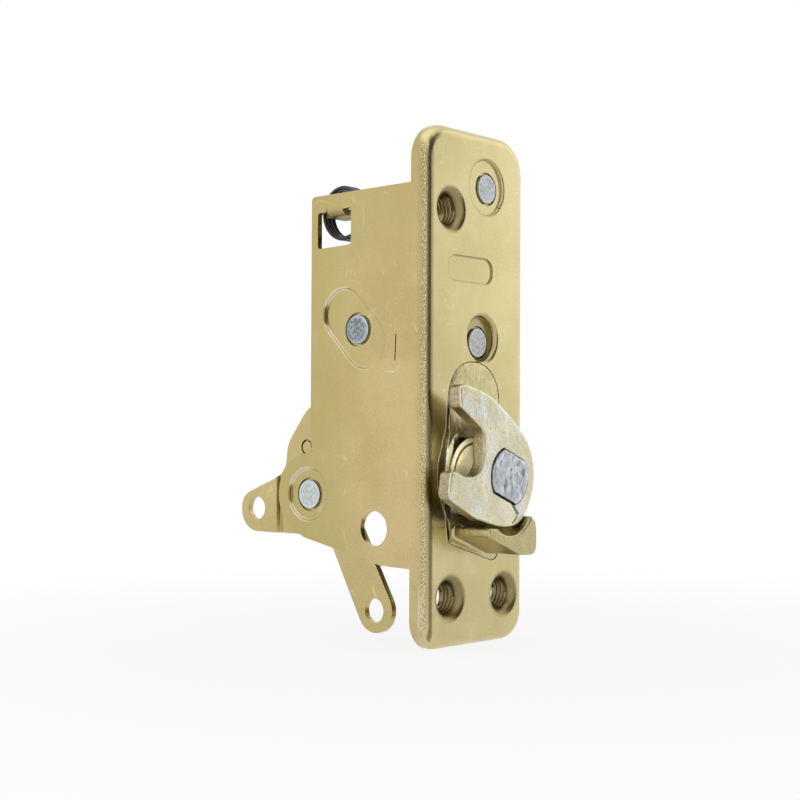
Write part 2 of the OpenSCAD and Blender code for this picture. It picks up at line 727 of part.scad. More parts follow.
// Plate behind ratchet and pawl
back_plate_shape = concat(
    [
        [upper_fix[0] - 8, upper_fix[1] + 7.5, 5], [upper_fix[0] - 8, upper_fix[1] - 9, 6],
        [pawl_pivot[0] - 8.5, pawl_pivot[1] + 10, 6], [pawl_pivot[0] - 8.5, pawl_pivot[1] - 12, 8],
        [rotor[0] - 10.5, rotor[1] + 7, 8], [rotor[0] - 10.5, rotor[1] - 9, 8]
    ],
    [
        [stop_at[0] - 7, stop_at[1] - 6, 4], [stop_at[0] + 6, stop_at[1] - 6, 5],
        [rotor[0] + 12.5, rotor[1] + 6, 8], [pawl_pivot[0] + 8.5, pawl_pivot[1] - 10, 8],
        [pawl_pivot[0] + 8.5, pawl_pivot[1] + 12, 8], [upper_fix[0] + 7.5, upper_fix[1] - 9, 6],
        [upper_fix[0] + 7.5, upper_fix[1] + 7.5, 5]
    ]
);
module back_plate() {
    mid = (upper_fix + pawl_pivot) / 2;
    color(gold) difference() {
        along_y(back_plate_y, back_plate_t) polygon(rounded(back_plate_shape));
        rod_y(rotor, rear_journal_r + run_gap, back_plate_y - 1, back_plate_back_y + 1);
        for (at = [upper_fix, pawl_pivot])
            rod_y(at, neck_r + seat_gap, back_plate_y - 1, back_plate_back_y + 1);
        rod_y(stop_at, stop_r - 0.5 + seat_gap, back_plate_y - 1, back_plate_back_y + 1);
        along_y(back_plate_y - 1, back_plate_t + 2) hull() {
            translate(mid + [0, 6]) circle(3.4, $fn = 32);
            translate(mid - [0, 6]) circle(3.4, $fn = 32);
        }
    }
}
module upper_rivet() {
    color(silver) pin_y(upper_fix, recess_d, sheet_t + recess_d, neck_r);
}
module upper_sleeve() {
    color(steel) ring_y(upper_fix, neck_r + 2.2, neck_r + seat_gap, sheet_t + recess_d, back_plate_y);
}

// Levers on the wing's inner side, as [Y, Z]
nose_z = pawl_pivot[1] + tail_z - touch_gap;
tip_y = 24.6;
tip_z = release_pivot[1] + 18.5;
push_y = 30.5;
release_shape = [
    [6.8, nose_z - 2.6, 1], [15.2, release_pivot[1] - 8.5, 4], [23.6, release_pivot[1] - 10.5, 3],
    [24.2, release_pivot[1] - 27.3, 2], [push_y - touch_gap, release_pivot[1] - 27.3, 2],
    [push_y - touch_gap, release_pivot[1] - 12, 6], [31.6, release_pivot[1], 8],
    [29.6, tip_z + 4, 2.2], [18.2, tip_z + 4, 2.6], [14.6, release_pivot[1] + 6, 5],
    [13.2, nose_z, 2], [6.8, nose_z, 0.8]
];
release_travel = 13;
tip_arm = norm([tip_y, tip_z] - release_pivot);
tip_turn = atan2(tip_z - release_pivot[1], tip_y - release_pivot[0]);
slot_half = return_wire / 2 + touch_gap;
slot_spare = 180 * slot_half / (PI * tip_arm);
module spring_slot() {
    a0 = tip_turn - slot_spare;
    a1 = tip_turn + release_travel + slot_spare;
    translate(release_pivot) intersection() {
        difference() {
            circle(tip_arm + slot_half, $fn = 96);
            circle(tip_arm - slot_half, $fn = 96);
        }
        polygon([
            [0, 0], 2 * tip_arm * [cos(a0), sin(a0)], 2 * tip_arm * [cos(a1), sin(a1)]
        ]);
    }
}
module release_lever() {
    color(gold) difference() {
        along_x(lever_x, lever_t) polygon(rounded(release_shape));
        rod_x(release_pivot, pivot_r + run_gap, lever_x - 1, lever_x + lever_t + 1);
        along_x(lever_x - 1, lever_t + 2) spring_slot();
    }
}
module pin_x(at, head_x) {
    rod_x(at, rivet_r, wing_x + recess_d - rivet_proud, wing_x + recess_d + mouth_d - 0.02);
    rod_x(at, neck_r, wing_x + recess_d, recess_in + 0.1);
    rod_x(at, pivot_r, recess_in, head_x + 0.1);
    rod_x(at, pivot_r + 2, head_x, head_x + 1.4);
}
washer_t = 0.8;
release_washer_x = lever_x + lever_t + side_gap;
module release_washer() {
    color(steel) ring_x(release_pivot, pivot_r + 3.2, pivot_r + seat_gap, release_washer_x, release_washer_x + washer_t);
}
// The domed end stands a little out of its recess
module release_pin() {
    color(silver) union() {
        pin_x(release_pivot, release_washer_x + washer_t);
        translate([wing_x + recess_d - rivet_proud, release_pivot[0], release_pivot[1]]) rotate([0, -90, 0])
            cylinder(h = 0.4, r1 = rivet_r, r2 = rivet_r - 0.9);
    }
}

ear_shape = shifted([
    [-10.7, -10.9, 9], [26.4, -10.5, 6], [26.4, -1, 4.8], [13.2, 4.1, 3], [10.8, 7.4, 2],
    [10, 13.3, 7], [2.1, 23.6, 8], [push_y - crank_pivot[0], 24.6, 3],
    [push_y - crank_pivot[0], 17.6, 3], [-6.1, 14, 3], [-10.7, 6, 5]
], crank_pivot);
step_y = crank_pivot[0] + 12.5;
step_run = 0.6;
module ear_plate_profile() {
    x0 = lever_x;
    x1 = lever_x - ear_step;
    polygon([
        [x0, 0], [x0, step_y], [x1, step_y + step_run], [x1, 120],
        [x1 + lever_t, 120], [x1 + lever_t, step_y + step_run + 1.1], [x0 + lever_t, step_y + 1.1], [x0 + lever_t, 0]
    ]);
}
module ear_lever() {
    color(gold) difference() {
        intersection() {
            along_x(lever_x - ear_step - 1, lever_t + ear_step + 2) polygon(rounded(ear_shape));
            translate([0, 0, -plate_h]) linear_extrude(2 * plate_h) ear_plate_profile();
        }
        rod_x(crank_pivot, pivot_r + run_gap, lever_x - 1, lever_x + lever_t + 1);
        rod_x(ear_hole, ear_hole_r, lever_x - ear_step - 1, lever_x + lever_t + 1);
        rod_x(lever_key, key_r + seat_gap, lever_x - 1, lever_x + lever_t + 1);
        rod_x(lever_key, key_r + 0.4, lever_x - 1, lever_x + lever_t / 2);
    }
}
key_r = 1.6;
lower_shape = shifted([
    [-27.6, -31.3, 5.8], [-17.3, -37.1, 5.8], [-2.4, -9.5, 3], [9, -9, 8.4], [9, 8.6, 7], [4.8, 18.6, 4.4],
    [-4.8, 18.6, 4.4], [-9, 5, 5], [-9.6, 0.6, 4]
], crank_pivot);
module lower_lever() {
    color(gold) difference() {
        along_x(lower_x, lever_t) polygon(rounded(lower_shape));
        rod_x(crank_pivot, pivot_r + run_gap, lower_x - 1, lower_x + lever_t + 1);
        rod_x(lower_hole, lower_hole_r, lower_x - 1, lower_x + lever_t + 1);
        rod_x(lever_key, key_r + seat_gap, lower_x - 1, lower_x + lever_t + 1);
    }
}
module lever_rivet() {
    color(silver) union() {
        rod_x(lever_key, key_r, lever_x + 0.05, lower_x + lever_t);
        rod_x(lever_key, key_r + 1.3, lower_x + lever_t, lower_x + lever_t + 1);
    }
}
crank_washer_x = lower_x + lever_t + side_gap;
module crank_washer() {
    color(steel) ring_x(crank_pivot, pivot_r + 3.2, pivot_r + seat_gap, crank_washer_x, crank_washer_x + washer_t);
}
module crank_pin() {
    color(silver) pin_x(crank_pivot, crank_washer_x + washer_t);
}

// Return spring round the tab: one leg on a fixing hole's collar, the other in the lever's slot
return_r = return_wire / 2;
coil_x = recess_in + return_r + 0.1;
coil_pitch = return_wire + 0.1;
coil_turns = 2.75;
function return_coil(i, n) =
    let (a = 180 - 360 * coil_turns * i / n)
    [coil_x + coil_pitch * coil_turns * i / n, spring_centre[0] + return_coil_r * cos(a),
        spring_centre[1] + return_coil_r * sin(a)];
module return_spring() {
    n = 66;
    first = return_coil(0, n);
    last = return_coil(n, n);
    behind_lever_x = lever_x + lever_t + return_r + 0.15;
    rest_at = fixing_holes[0] + [-2.5, -sqrt(pow(collar_r + return_r + 0.1, 2) - 6.25)];
    color(spring_black) wire(concat(
        [
            [lever_x + 0.3, tip_y, tip_z], [behind_lever_x - 0.2, tip_y, tip_z],
            [behind_lever_x, tip_y - 0.1, tip_z + 1.4], [behind_lever_x, first[1] + 0.1, first[2] - 7.4],
            [first[0], first[1], first[2] - 4.4]
        ],
        [for (i = [0 : n]) return_coil(i, n)],
        [last + [0.1, -6, 0], [rest_at[0], 8, rest_at[1]], [rest_at[0], 5.8, rest_at[1]]]
    ), return_r, 8);
}

case();
anvil_housing();
claw();
rotor_shaft();
rotor_bush();
ratchet();
rotor_spring();
rotor_clip();
claw_stop();
pawl();
pawl_pin();
pawl_sleeve();
back_sleeve();
pawl_spring();
back_plate();
upper_rivet();
upper_sleeve();
release_lever();
release_pin();
release_washer();
ear_lever();
lower_lever();
lever_rivet();
crank_pin();
crank_washer();
return_spring();
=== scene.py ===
"""A car door lock: finishes, screw threads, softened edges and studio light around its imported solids.

Lengths are in millimetres, and mm() or MM turns them into Blender's metres; only the floor, the cards and
the lamps are placed in metres. X runs across the faceplate, Y into the door and Z up, and the wing stands
at the left, at -X.
"""
from functools import reduce
import json
import math

import bpy
import bmesh
from mathutils import Matrix, Vector


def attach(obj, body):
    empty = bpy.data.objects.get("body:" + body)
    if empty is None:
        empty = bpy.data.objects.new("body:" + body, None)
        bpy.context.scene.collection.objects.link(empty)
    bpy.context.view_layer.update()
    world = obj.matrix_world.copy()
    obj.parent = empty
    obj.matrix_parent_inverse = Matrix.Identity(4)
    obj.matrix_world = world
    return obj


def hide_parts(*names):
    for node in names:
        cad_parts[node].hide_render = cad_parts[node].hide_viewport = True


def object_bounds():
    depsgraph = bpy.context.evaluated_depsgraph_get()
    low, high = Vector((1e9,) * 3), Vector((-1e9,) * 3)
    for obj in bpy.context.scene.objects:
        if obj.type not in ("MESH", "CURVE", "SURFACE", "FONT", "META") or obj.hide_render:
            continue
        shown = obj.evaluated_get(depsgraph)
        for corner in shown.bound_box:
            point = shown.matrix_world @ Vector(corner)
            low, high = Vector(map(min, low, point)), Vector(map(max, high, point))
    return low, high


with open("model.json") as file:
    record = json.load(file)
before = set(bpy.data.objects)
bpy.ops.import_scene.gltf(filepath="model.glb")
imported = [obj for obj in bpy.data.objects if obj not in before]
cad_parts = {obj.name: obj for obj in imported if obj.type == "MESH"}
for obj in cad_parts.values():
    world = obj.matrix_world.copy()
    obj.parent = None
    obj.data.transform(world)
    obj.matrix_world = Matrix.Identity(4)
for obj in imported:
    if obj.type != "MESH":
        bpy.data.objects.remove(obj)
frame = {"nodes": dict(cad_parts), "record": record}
solids_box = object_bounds()
NODES = frame["nodes"]
BEHAVIOUR = frame["record"]["behaviour"]
MM = 0.001
ALONG_X, ALONG_Y = 0, 1


def mm(*values):
    """Millimetres as a vector in metres."""
    return Vector([value * MM for value in values])


def joint_centre(joint_name, along):
    """A joint's axis as a point, seen along that axis: sideways and up."""
    joint = next(joint for joint in BEHAVIOUR["joints"] if joint["name"] == joint_name)
    sideways = 1 if along == ALONG_X else 0
    return joint["pos_m"][sideways] / MM, joint["pos_m"][2] / MM


# Places on the lock, as sideways and up: X and Z on the faceplate, Y and Z on the wing

ROTOR = joint_centre("claw_turn", ALONG_Y)
PAWL_PIN = joint_centre("pawl_lift", ALONG_Y)
RELEASE_PIN = joint_centre("release_turn", ALONG_X)
CRANK_PIN = joint_centre("crank_turn", ALONG_X)
UPPER_RIVET = (4.9, 51.4)

FIXING_HOLES = {"upper": (-10.5, 44.45), "lower_inner": (-10.3, -53.2), "lower_outer": (11.8, -53.6)}
DISH_INNER_R, DISH_OUTER_R = 5.2, 6.5
UPPER_RECESS = (4.3, 51.7)
UPPER_RECESS_R = 7.35
PAWL_RECESS = (2.6, 12.5)
PAWL_RECESS_INNER_R, PAWL_RECESS_OUTER_R = 5.8, 7.0
STAMP_CENTRE = (-2.35, 29.85)
STAMP_SIZE = (18.3, 6.5)
STAMP_CORNER_R = 3.0
OPENING_RIM = (
    (-9.3, 3.0), (-10.7, 1.0), (-11.6, -2.5), (-12.1, -10.2),
    (-15.2, -19.8), (-15.2, -25.6), (-12.3, -32.7), (-11.6, -38.4),
)
BOSS_R = 10.0
CASTING_STRIP_R = 13.2
CLAW_CRACK = ((2.2, -29.8), (4.3, -32.1), (3.9, -33.2), (2.3, -34.4))
CRACK_WIDENING = 0.22

WING_FACE_X = -21.0
WING_RECESS_FLOOR_X = -20.2
FOLD_X = -20.0
# Where the painted dark reflection beside the fold runs
FOLD_DARK_REFLECTION_X = -18.1
LOW_CORNER_X = -20.4
TONGUE_X = -16.0
CRANK_RECESS_R = 6.8
CRANK_RING_R = 12.1
RELEASE_RECESS = ((27.0, 18.6), (19.8, 11.2))
RELEASE_RECESS_R = 6.7
RELEASE_RECESS_BOX = ((12.0, 0.5), (33.0, 27.0))
PIN_HOLE_R = 4.6
WINDOW_WALL = (36.2, 41.0)

# Boxes in which the sheet keeps its punched edges, as low and high corner
CRISP_BOXES = {
    "root of the tongue": ((-22.0, 27.2, 45.5), (22.0, 33.7, 66.0)),
    "tongue": ((-20.9, 22.0, 43.0), (22.0, 38.0, 66.0)),
    "pressed line": ((-22.0, 8.5, 5.5), (-20.0, 10.0, 13.5)),
    "seat of the casting": ((-13.5, -0.1, -50.0), (22.0, 0.1, 6.0)),
}

THREAD = {"bore": 3.75, "crest": 3.38, "pitch": 1.25, "start": 2.5, "end": 6.2}
SKIN_INSET = 0.03


# Shader building


class Value:
    """A number on a socket. Arithmetic on it adds Math nodes."""

    def __init__(self, tree, socket):
        self.tree = tree
        self.socket = socket

    def __add__(self, other):
        return self.tree.maths("ADD", self, other)

    def __radd__(self, other):
        return self.tree.maths("ADD", other, self)

    def __sub__(self, other):
        return self.tree.maths("SUBTRACT", self, other)

    def __rsub__(self, other):
        return self.tree.maths("SUBTRACT", other, self)

    def __mul__(self, other):
        return self.tree.maths("MULTIPLY", self, other)

    def __rmul__(self, other):
        return self.tree.maths("MULTIPLY", other, self)

    def __truediv__(self, other):
        return self.tree.maths("DIVIDE", self, other)

    def __pow__(self, other):
        return self.tree.maths("POWER", self, other)

    def __abs__(self):
        return self.tree.maths("ABSOLUTE", self)

    def least(self, other):
        return self.tree.maths("MINIMUM", self, other)

    def most(self, other):
        return self.tree.maths("MAXIMUM", self, other)

    def ramp(self, low, high, start=0.0, end=1.0):
        """Goes smoothly from start to end as the value goes from low to high."""
        settings = {"interpolation_type": "SMOOTHSTEP"}
        inputs = {0: self, 1: low, 2: high, 3: start, 4: end}
        return self.tree.node("ShaderNodeMapRange", settings, inputs, "Result")

    def near(self, centre, inner, outer):
        """1 within the inner reach of the centre, and 0 past the outer one."""
        return abs(self - centre).ramp(outer, inner)


class Tree:
    """The nodes of a material or of the world."""

    def __init__(self, owner):
        owner.use_nodes = True
        self.nodes = owner.node_tree.nodes
        self.links = owner.node_tree.links
        self.nodes.clear()

    def node(self, kind, settings, inputs, *outputs):
        """Adds a node, makes its settings, fills or links its inputs and gives the outputs asked for."""
        made = self.nodes.new(kind)
        for key, setting in settings.items():
            setattr(made, key, setting)
        for key, given in inputs.items():
            if isinstance(given, Value):
                self.links.new(given.socket, made.inputs[key])
            else:
                made.inputs[key].default_value = given
        values = [Value(self, made.outputs[key]) for key in outputs]
        return values[0] if len(values) == 1 else values

    def maths(self, operation, *operands):
        return self.node("ShaderNodeMath", {"operation": operation}, dict(enumerate(operands)), "Value")

    def rays_that_show(self):
        """1 for the rays that show the background: the camera's, and those that metal and glass send on."""
        kinds = ("Is Camera Ray", "Is Glossy Ray", "Is Transmission Ray")
        camera_ray, glossy_ray, clear_ray = self.node("ShaderNodeLightPath", {}, {}, *kinds)
        return (camera_ray + glossy_ray + clear_ray).least(1.0)


class Finish(Tree):
    """A material: its colour, roughness, share of metal and height, laid on layer by layer."""

    def __init__(self, name):
        self.material = bpy.data.materials.new(name)
        super().__init__(self.material)
        self.place = self.node("ShaderNodeTexCoord", {}, {}, "Object")
        enlarged = {"Vector": self.place, "Scale": 1.0 / MM}
        in_mm = self.node("ShaderNodeVectorMath", {"operation": "SCALE"}, enlarged, "Vector")
        self.x, self.y, self.z = self.node("ShaderNodeSeparateXYZ", {}, {"Vector": in_mm}, "X", "Y", "Z")
        self.base = None
        self.rough = 0.5
        self.metal = 1.0
        self.height = 0.0

    def mix(self, amount, first, second):
        """A colour between two, by an amount from 0 to 1."""
        inputs = {0: amount, 6: colour(first), 7: colour(second)}
        return self.node("ShaderNodeMix", {"data_type": "RGBA"}, inputs, 2)

    def lay(self, amount, tint):
        """Lays a colour over the base colour, by an amount from 0 to 1."""
        self.base = self.mix(amount, self.base, tint)

    def noise(self, size, detail, place=None, roughness=0.55):
        """Soft clouds from 0 to 1, about as large as size."""
        inputs = {"Vector": place or self.place, "Scale": 1.0 / (size * MM)}
        inputs.update({"Detail": detail, "Roughness": roughness})
        return self.node("ShaderNodeTexNoise", {"noise_dimensions": "3D"}, inputs, "Fac")

    def cells(self, size, feature="F1"):
        """The distance from the nearest of many scattered points, about a size apart."""
        inputs = {"Vector": self.place, "Scale": 1.0 / (size * MM)}
        return self.node("ShaderNodeTexVoronoi", {"feature": feature}, inputs, "Distance")

    def turned(self, degrees, stretch=(1, 1, 1)):
        """Coordinates turned about X, Y and Z, and then stretched along the turned axes."""
        turn = {"Vector": self.place, "Rotation": tuple(math.radians(angle) for angle in degrees)}
        in_line = self.node("ShaderNodeMapping", {}, turn, "Vector")
        return self.node("ShaderNodeMapping", {}, {"Vector": in_line, "Scale": stretch}, "Vector")

    def seen(self, along):
        """The coordinates that lie sideways and up for someone who looks along X or Y."""
        return (self.y if along == ALONG_X else self.x), self.z

    def from_axis(self, centre, along):
        """The distance from an axis through the centre."""
        sideways, up = self.seen(along)
        return ((sideways - centre[0]) ** 2.0 + (up - centre[1]) ** 2.0) ** 0.5

    def from_line(self, first, second, along):
        """The distance from the stretch between two points."""
        sideways, up = self.seen(along)
        run, rise = second[0] - first[0], second[1] - first[1]
        gone_across, gone_up = sideways - first[0], up - first[1]
        share = ((gone_across * run + gone_up * rise) / (run * run + rise * rise)).most(0.0).least(1.0)
        return ((gone_across - share * run) ** 2.0 + (gone_up - share * rise) ** 2.0) ** 0.5

    def from_path(self, points, along):
        """The distance from a path of straight stretches."""
        return reduce(Value.least, [self.from_line(*ends, along) for ends in zip(points, points[1:])])

    def edges(self, reach, low, high):
        """1 along the outer edges, rubbed bright by handling and painted as a highlight."""
        rounded = self.node("ShaderNodeBevel", {"samples": 6}, {"Radius": reach * MM}, "Normal")
        flat = self.node("ShaderNodeNewGeometry", {}, {}, "Normal")
        settings = {"operation": "DOT_PRODUCT"}
        return self.node("ShaderNodeVectorMath", settings, {0: rounded, 1: flat}, "Value").ramp(high, low)

    def occlusion_shade(self, reach, low, high):
        """1 in the corners and beside the steps, where shade falls, and 0 in the open: a mask for painted
        shade.
        """
        settings = {"samples": 6, "only_local": True}
        open_air = self.node("ShaderNodeAmbientOcclusion", settings, {"Distance": reach * MM}, "AO")
        return open_air.ramp(high, low)

    def surface(self, bump, bump_height, coat=0.0):
        """The finished material, from what was laid on."""
        relief = {"Height": self.height, "Strength": bump, "Distance": bump_height * MM}
        inputs = {
            "Base Color": self.base, "Metallic": self.metal, "Roughness": self.rough, "Coat Weight": coat,
            "Normal": self.node("ShaderNodeBump", {}, relief, "Normal"),
        }
        self.show(self.node("ShaderNodeBsdfPrincipled", {}, inputs, "BSDF"))
        return self.material

    def show(self, shader):
        """Makes a shader the one that the material shows."""
        self.node("ShaderNodeOutputMaterial", {}, {"Surface": shader})


def colour(given):
    """A colour as the sockets take it, with its alpha."""
    return given if isinstance(given, Value) else (*given, 1.0)


# Finish of the case and the levers

CASE_PALE, CASE_DEEP, CASE_WARM = (0.66, 0.585, 0.30), (0.57, 0.49, 0.235), (0.62, 0.48, 0.26)
# Painted shade: the wing's colours are a darker copy of the case's, and darker still towards its top and
# rear.
SHADED_WING_DEEP, SHADED_WING_PALE, WING_SHADE = (0.49, 0.39, 0.175), (0.56, 0.455, 0.215), (0.44, 0.365, 0.14)
LEVER_PALE, LEVER_DEEP, LEVER_WARM = (0.56, 0.46, 0.215), (0.50, 0.405, 0.18), (0.56, 0.42, 0.22)
OLIVE_CLOUD = (0.40, 0.35, 0.16)
PALE_GRAIN, BROWN_GRAIN = (0.95, 0.88, 0.62), (0.20, 0.14, 0.05)
# Scratches, and the colour of edges rubbed bright and painted as a highlight.
SCRATCHED_ZINC, RUBBED_AND_LIT_ZINC = (0.95, 0.90, 0.70), (0.92, 0.86, 0.62)
# Painted shade for the corners; stain and painted shade for the hollows.
SHEET_PAINTED_SHADE, STAIN_AND_PAINTED_SHADE = (0.13, 0.085, 0.03), (0.13, 0.085, 0.028)
LIT_BAND, SHADED_BAND = (1.0, 0.92, 0.66), (0.16, 0.12, 0.045)
# The rim's colour is rubbed zinc with a painted highlight; the low corner's is a painted highlight.
RUBBED_AND_LIT_RIM, LIT_CORNER = (1.0, 0.86, 0.52), (1.0, 0.90, 0.56)
FOLD_PIT, FOLD_CREST = (0.16, 0.105, 0.04), (0.95, 0.88, 0.66)

SCRATCH_TURNS = ((31, 0, 12), (-48, 20, 0), (75, -30, 8), (8, 64, -25))


def scratches(finish):
    """Sparse short handling scratches in four directions, and a few longer curved ones."""
    where = finish.noise(14.0, 1.0).ramp(0.42, 0.60)
    drawn_out = [finish.turned(degrees, (0.10, 1, 1)) for degrees in SCRATCH_TURNS]
    short = reduce(Value.most, [finish.noise(0.45, 2.0, place, 0.5).ramp(0.68, 0.73) for place in drawn_out])
    curved = hairline(finish, (10, 30, 50), 19.0, 0.006).most(hairline(finish, (70, -20, 15), 25.0, 0.005))
    return (short * where * 0.6).most(curved * finish.noise(5.5, 3.0).ramp(0.56, 0.66) * 0.6)


def hairline(finish, degrees, size, width):
    """Thin curved lines, where a slow noise passes through its middle value."""
    return finish.noise(size, 1.0, finish.turned(degrees), 0.4).near(0.5, width * 0.4, width)


def yellow_sheet(name, pale, deep, warm, wing=None):
    """Yellow passivated zinc on sheet steel: warm and greenish clouds, fine grain and light scratches.

    Gives the finish, and its grain and small clouds for the layers that follow."""
    finish = Finish(name)
    clouds = finish.noise(22.0, 3.0)
    drift = finish.noise(45.0, 2.0, finish.turned((20, 40, 0), (1, 1, 0.5)))
    small = finish.noise(5.0, 4.0)
    grain = finish.noise(0.45, 3.0)
    fine = finish.noise(0.16, 2.0)
    marks = scratches(finish)
    finish.base = finish.mix(clouds.ramp(0.32, 0.68), deep, pale)
    # Painted shade: the wing gets a darker copy of the sheet's colours.
    if wing:
        finish.lay(wing_mask(finish), finish.mix(clouds.ramp(0.32, 0.68), *wing))
    finish.lay(drift.ramp(0.52, 0.75) * 0.30, warm)
    finish.lay(small.ramp(0.50, 0.80) * 0.12, OLIVE_CLOUD)
    finish.lay(grain.ramp(0.45, 0.75) * 0.10, PALE_GRAIN)
    finish.lay(fine.ramp(0.60, 0.78) * 0.14, BROWN_GRAIN)
    finish.lay(marks * 0.42, SCRATCHED_ZINC)
    # Painted shade in the corners and beside the steps, stronger towards the front.
    finish.lay(finish.occlusion_shade(1.4, 0.30, 0.80) * finish.y.ramp(4.5, 2.0, 0.25, 0.55), SHEET_PAINTED_SHADE)
    # The outer edges rubbed bright, with a painted highlight along them.
    finish.lay(finish.edges(0.35, 0.80, 0.97) * grain.ramp(0.35, 0.60) * 0.6, RUBBED_AND_LIT_ZINC)
    finish.rough = 0.21 + grain * 0.06 + clouds * 0.04 - marks * 0.06
    finish.height = grain * 0.4 + fine * 0.3 + marks * 0.4 + finish.noise(3.5, 2.0) * 1.4
    return finish, grain, small


def wing_mask(finish):
    """1 on the wing and its lobe, and 0 on the faceplate."""
    behind_plate = finish.x.ramp(-16.0, -18.0) * finish.y.ramp(2.2, 4.0)
    return finish.x.ramp(-19.0, -20.3).most(behind_plate)


def recess_bands(finish, centre, radius, off):
    """The bands of a drawn recess of the wing that catch the light, and those that lie in the shade.

    The centre is that of the outline's far end, and off is the distance from the recess' middle line."""
    beyond = finish.y - centre[0]
    above = finish.z - centre[1]
    outline = off.near(radius, 0.15, 0.60)
    shaded = beyond.ramp(radius * 0.82, radius * 0.94) * abs(above).ramp(radius * 0.45, radius * 0.2)
    lit = (beyond * 0.55 + abs(above) * 0.83).ramp(radius * 0.60, radius * 0.88) * (1.0 - shaded)
    lit = lit * above.ramp(-radius * 1.8, radius * 0.4, 0.25, 1.0)
    return outline * lit, outline * shaded


def drawn_bands(finish):
    """Bands of painted highlight and painted shade round the wing's two recesses, and a faint ring of painted
    highlight round the crank's pin.
    """
    from_release = finish.from_line(*RELEASE_RECESS, ALONG_X)
    from_crank = finish.from_axis(CRANK_PIN, ALONG_X)
    release = recess_bands(finish, RELEASE_RECESS[0], RELEASE_RECESS_R, from_release)
    crank = recess_bands(finish, CRANK_PIN, CRANK_RECESS_R, from_crank)
    ring = from_crank.near(CRANK_RING_R, 0.08, 0.30) * finish.y.ramp(CRANK_PIN[0] - 3.0, CRANK_PIN[0] + 3.0)
    return release[0].most(crank[0]).most(ring * 0.45), release[1].most(crank[1])


def shade_and_stains(finish):
    """Dark marks of the drawn sheet: a painted dark reflection beside the fold, stain and painted shade in
    the dishes, and painted shade round the recesses, the stamp and the window's wall.
    """
    uneven = finish.noise(1.6, 4.0) * 0.6 - 0.3
    front = finish.y.ramp(1.2, 0.6)
    # A painted dark reflection beside the fold, darker towards the bottom.
    beside_fold = (finish.x + uneven * 0.5).near(FOLD_DARK_REFLECTION_X, 0.20, 1.05) * front
    marks = [beside_fold * finish.z.ramp(10.0, -35.0, 0.85, 1.45)]
    # Stain and painted shade in the dishes of the fixing holes.
    for label, centre in FIXING_HOLES.items():
        depth_of_dish_shade = 1.28 if label == "upper" else 1.35
        dish = (finish.from_axis(centre, ALONG_Y) + uneven).ramp(DISH_OUTER_R, DISH_INNER_R)
        marks.append(dish * depth_of_dish_shade)
    # Painted shade round the upper recess, the stamp, the window's wall and the pawl's recess.
    marks.append(finish.from_axis(UPPER_RECESS, ALONG_Y).near(UPPER_RECESS_R, 0.10, 0.45) * front * 0.7)
    marks.append(stamp_rim(finish) * front * 0.6)
    window_wall = finish.y.near(WINDOW_WALL[0], 0.4, 0.7) * finish.z.near(WINDOW_WALL[1], 4.6, 5.2)
    marks.append(window_wall * finish.x.ramp(WING_FACE_X + 0.05, WING_FACE_X + 0.25) * 1.6)
    round_pawl_pin = finish.from_axis(PAWL_RECESS, ALONG_Y) + uneven
    marks.append(round_pawl_pin.ramp(PAWL_RECESS_OUTER_R, PAWL_RECESS_INNER_R) * 0.75)
    return reduce(Value.most, marks)


def stamp_rim(finish):
    """1 on the rounded outline of the flat stamped recess."""
    past = [
        (abs(place - middle) - (size / 2 - STAMP_CORNER_R)).most(0.0)
        for place, middle, size in zip(finish.seen(ALONG_Y), STAMP_CENTRE, STAMP_SIZE)
    ]
    return ((past[0] * past[0] + past[1] * past[1]) ** 0.5).near(STAMP_CORNER_R, 0.10, 0.42)


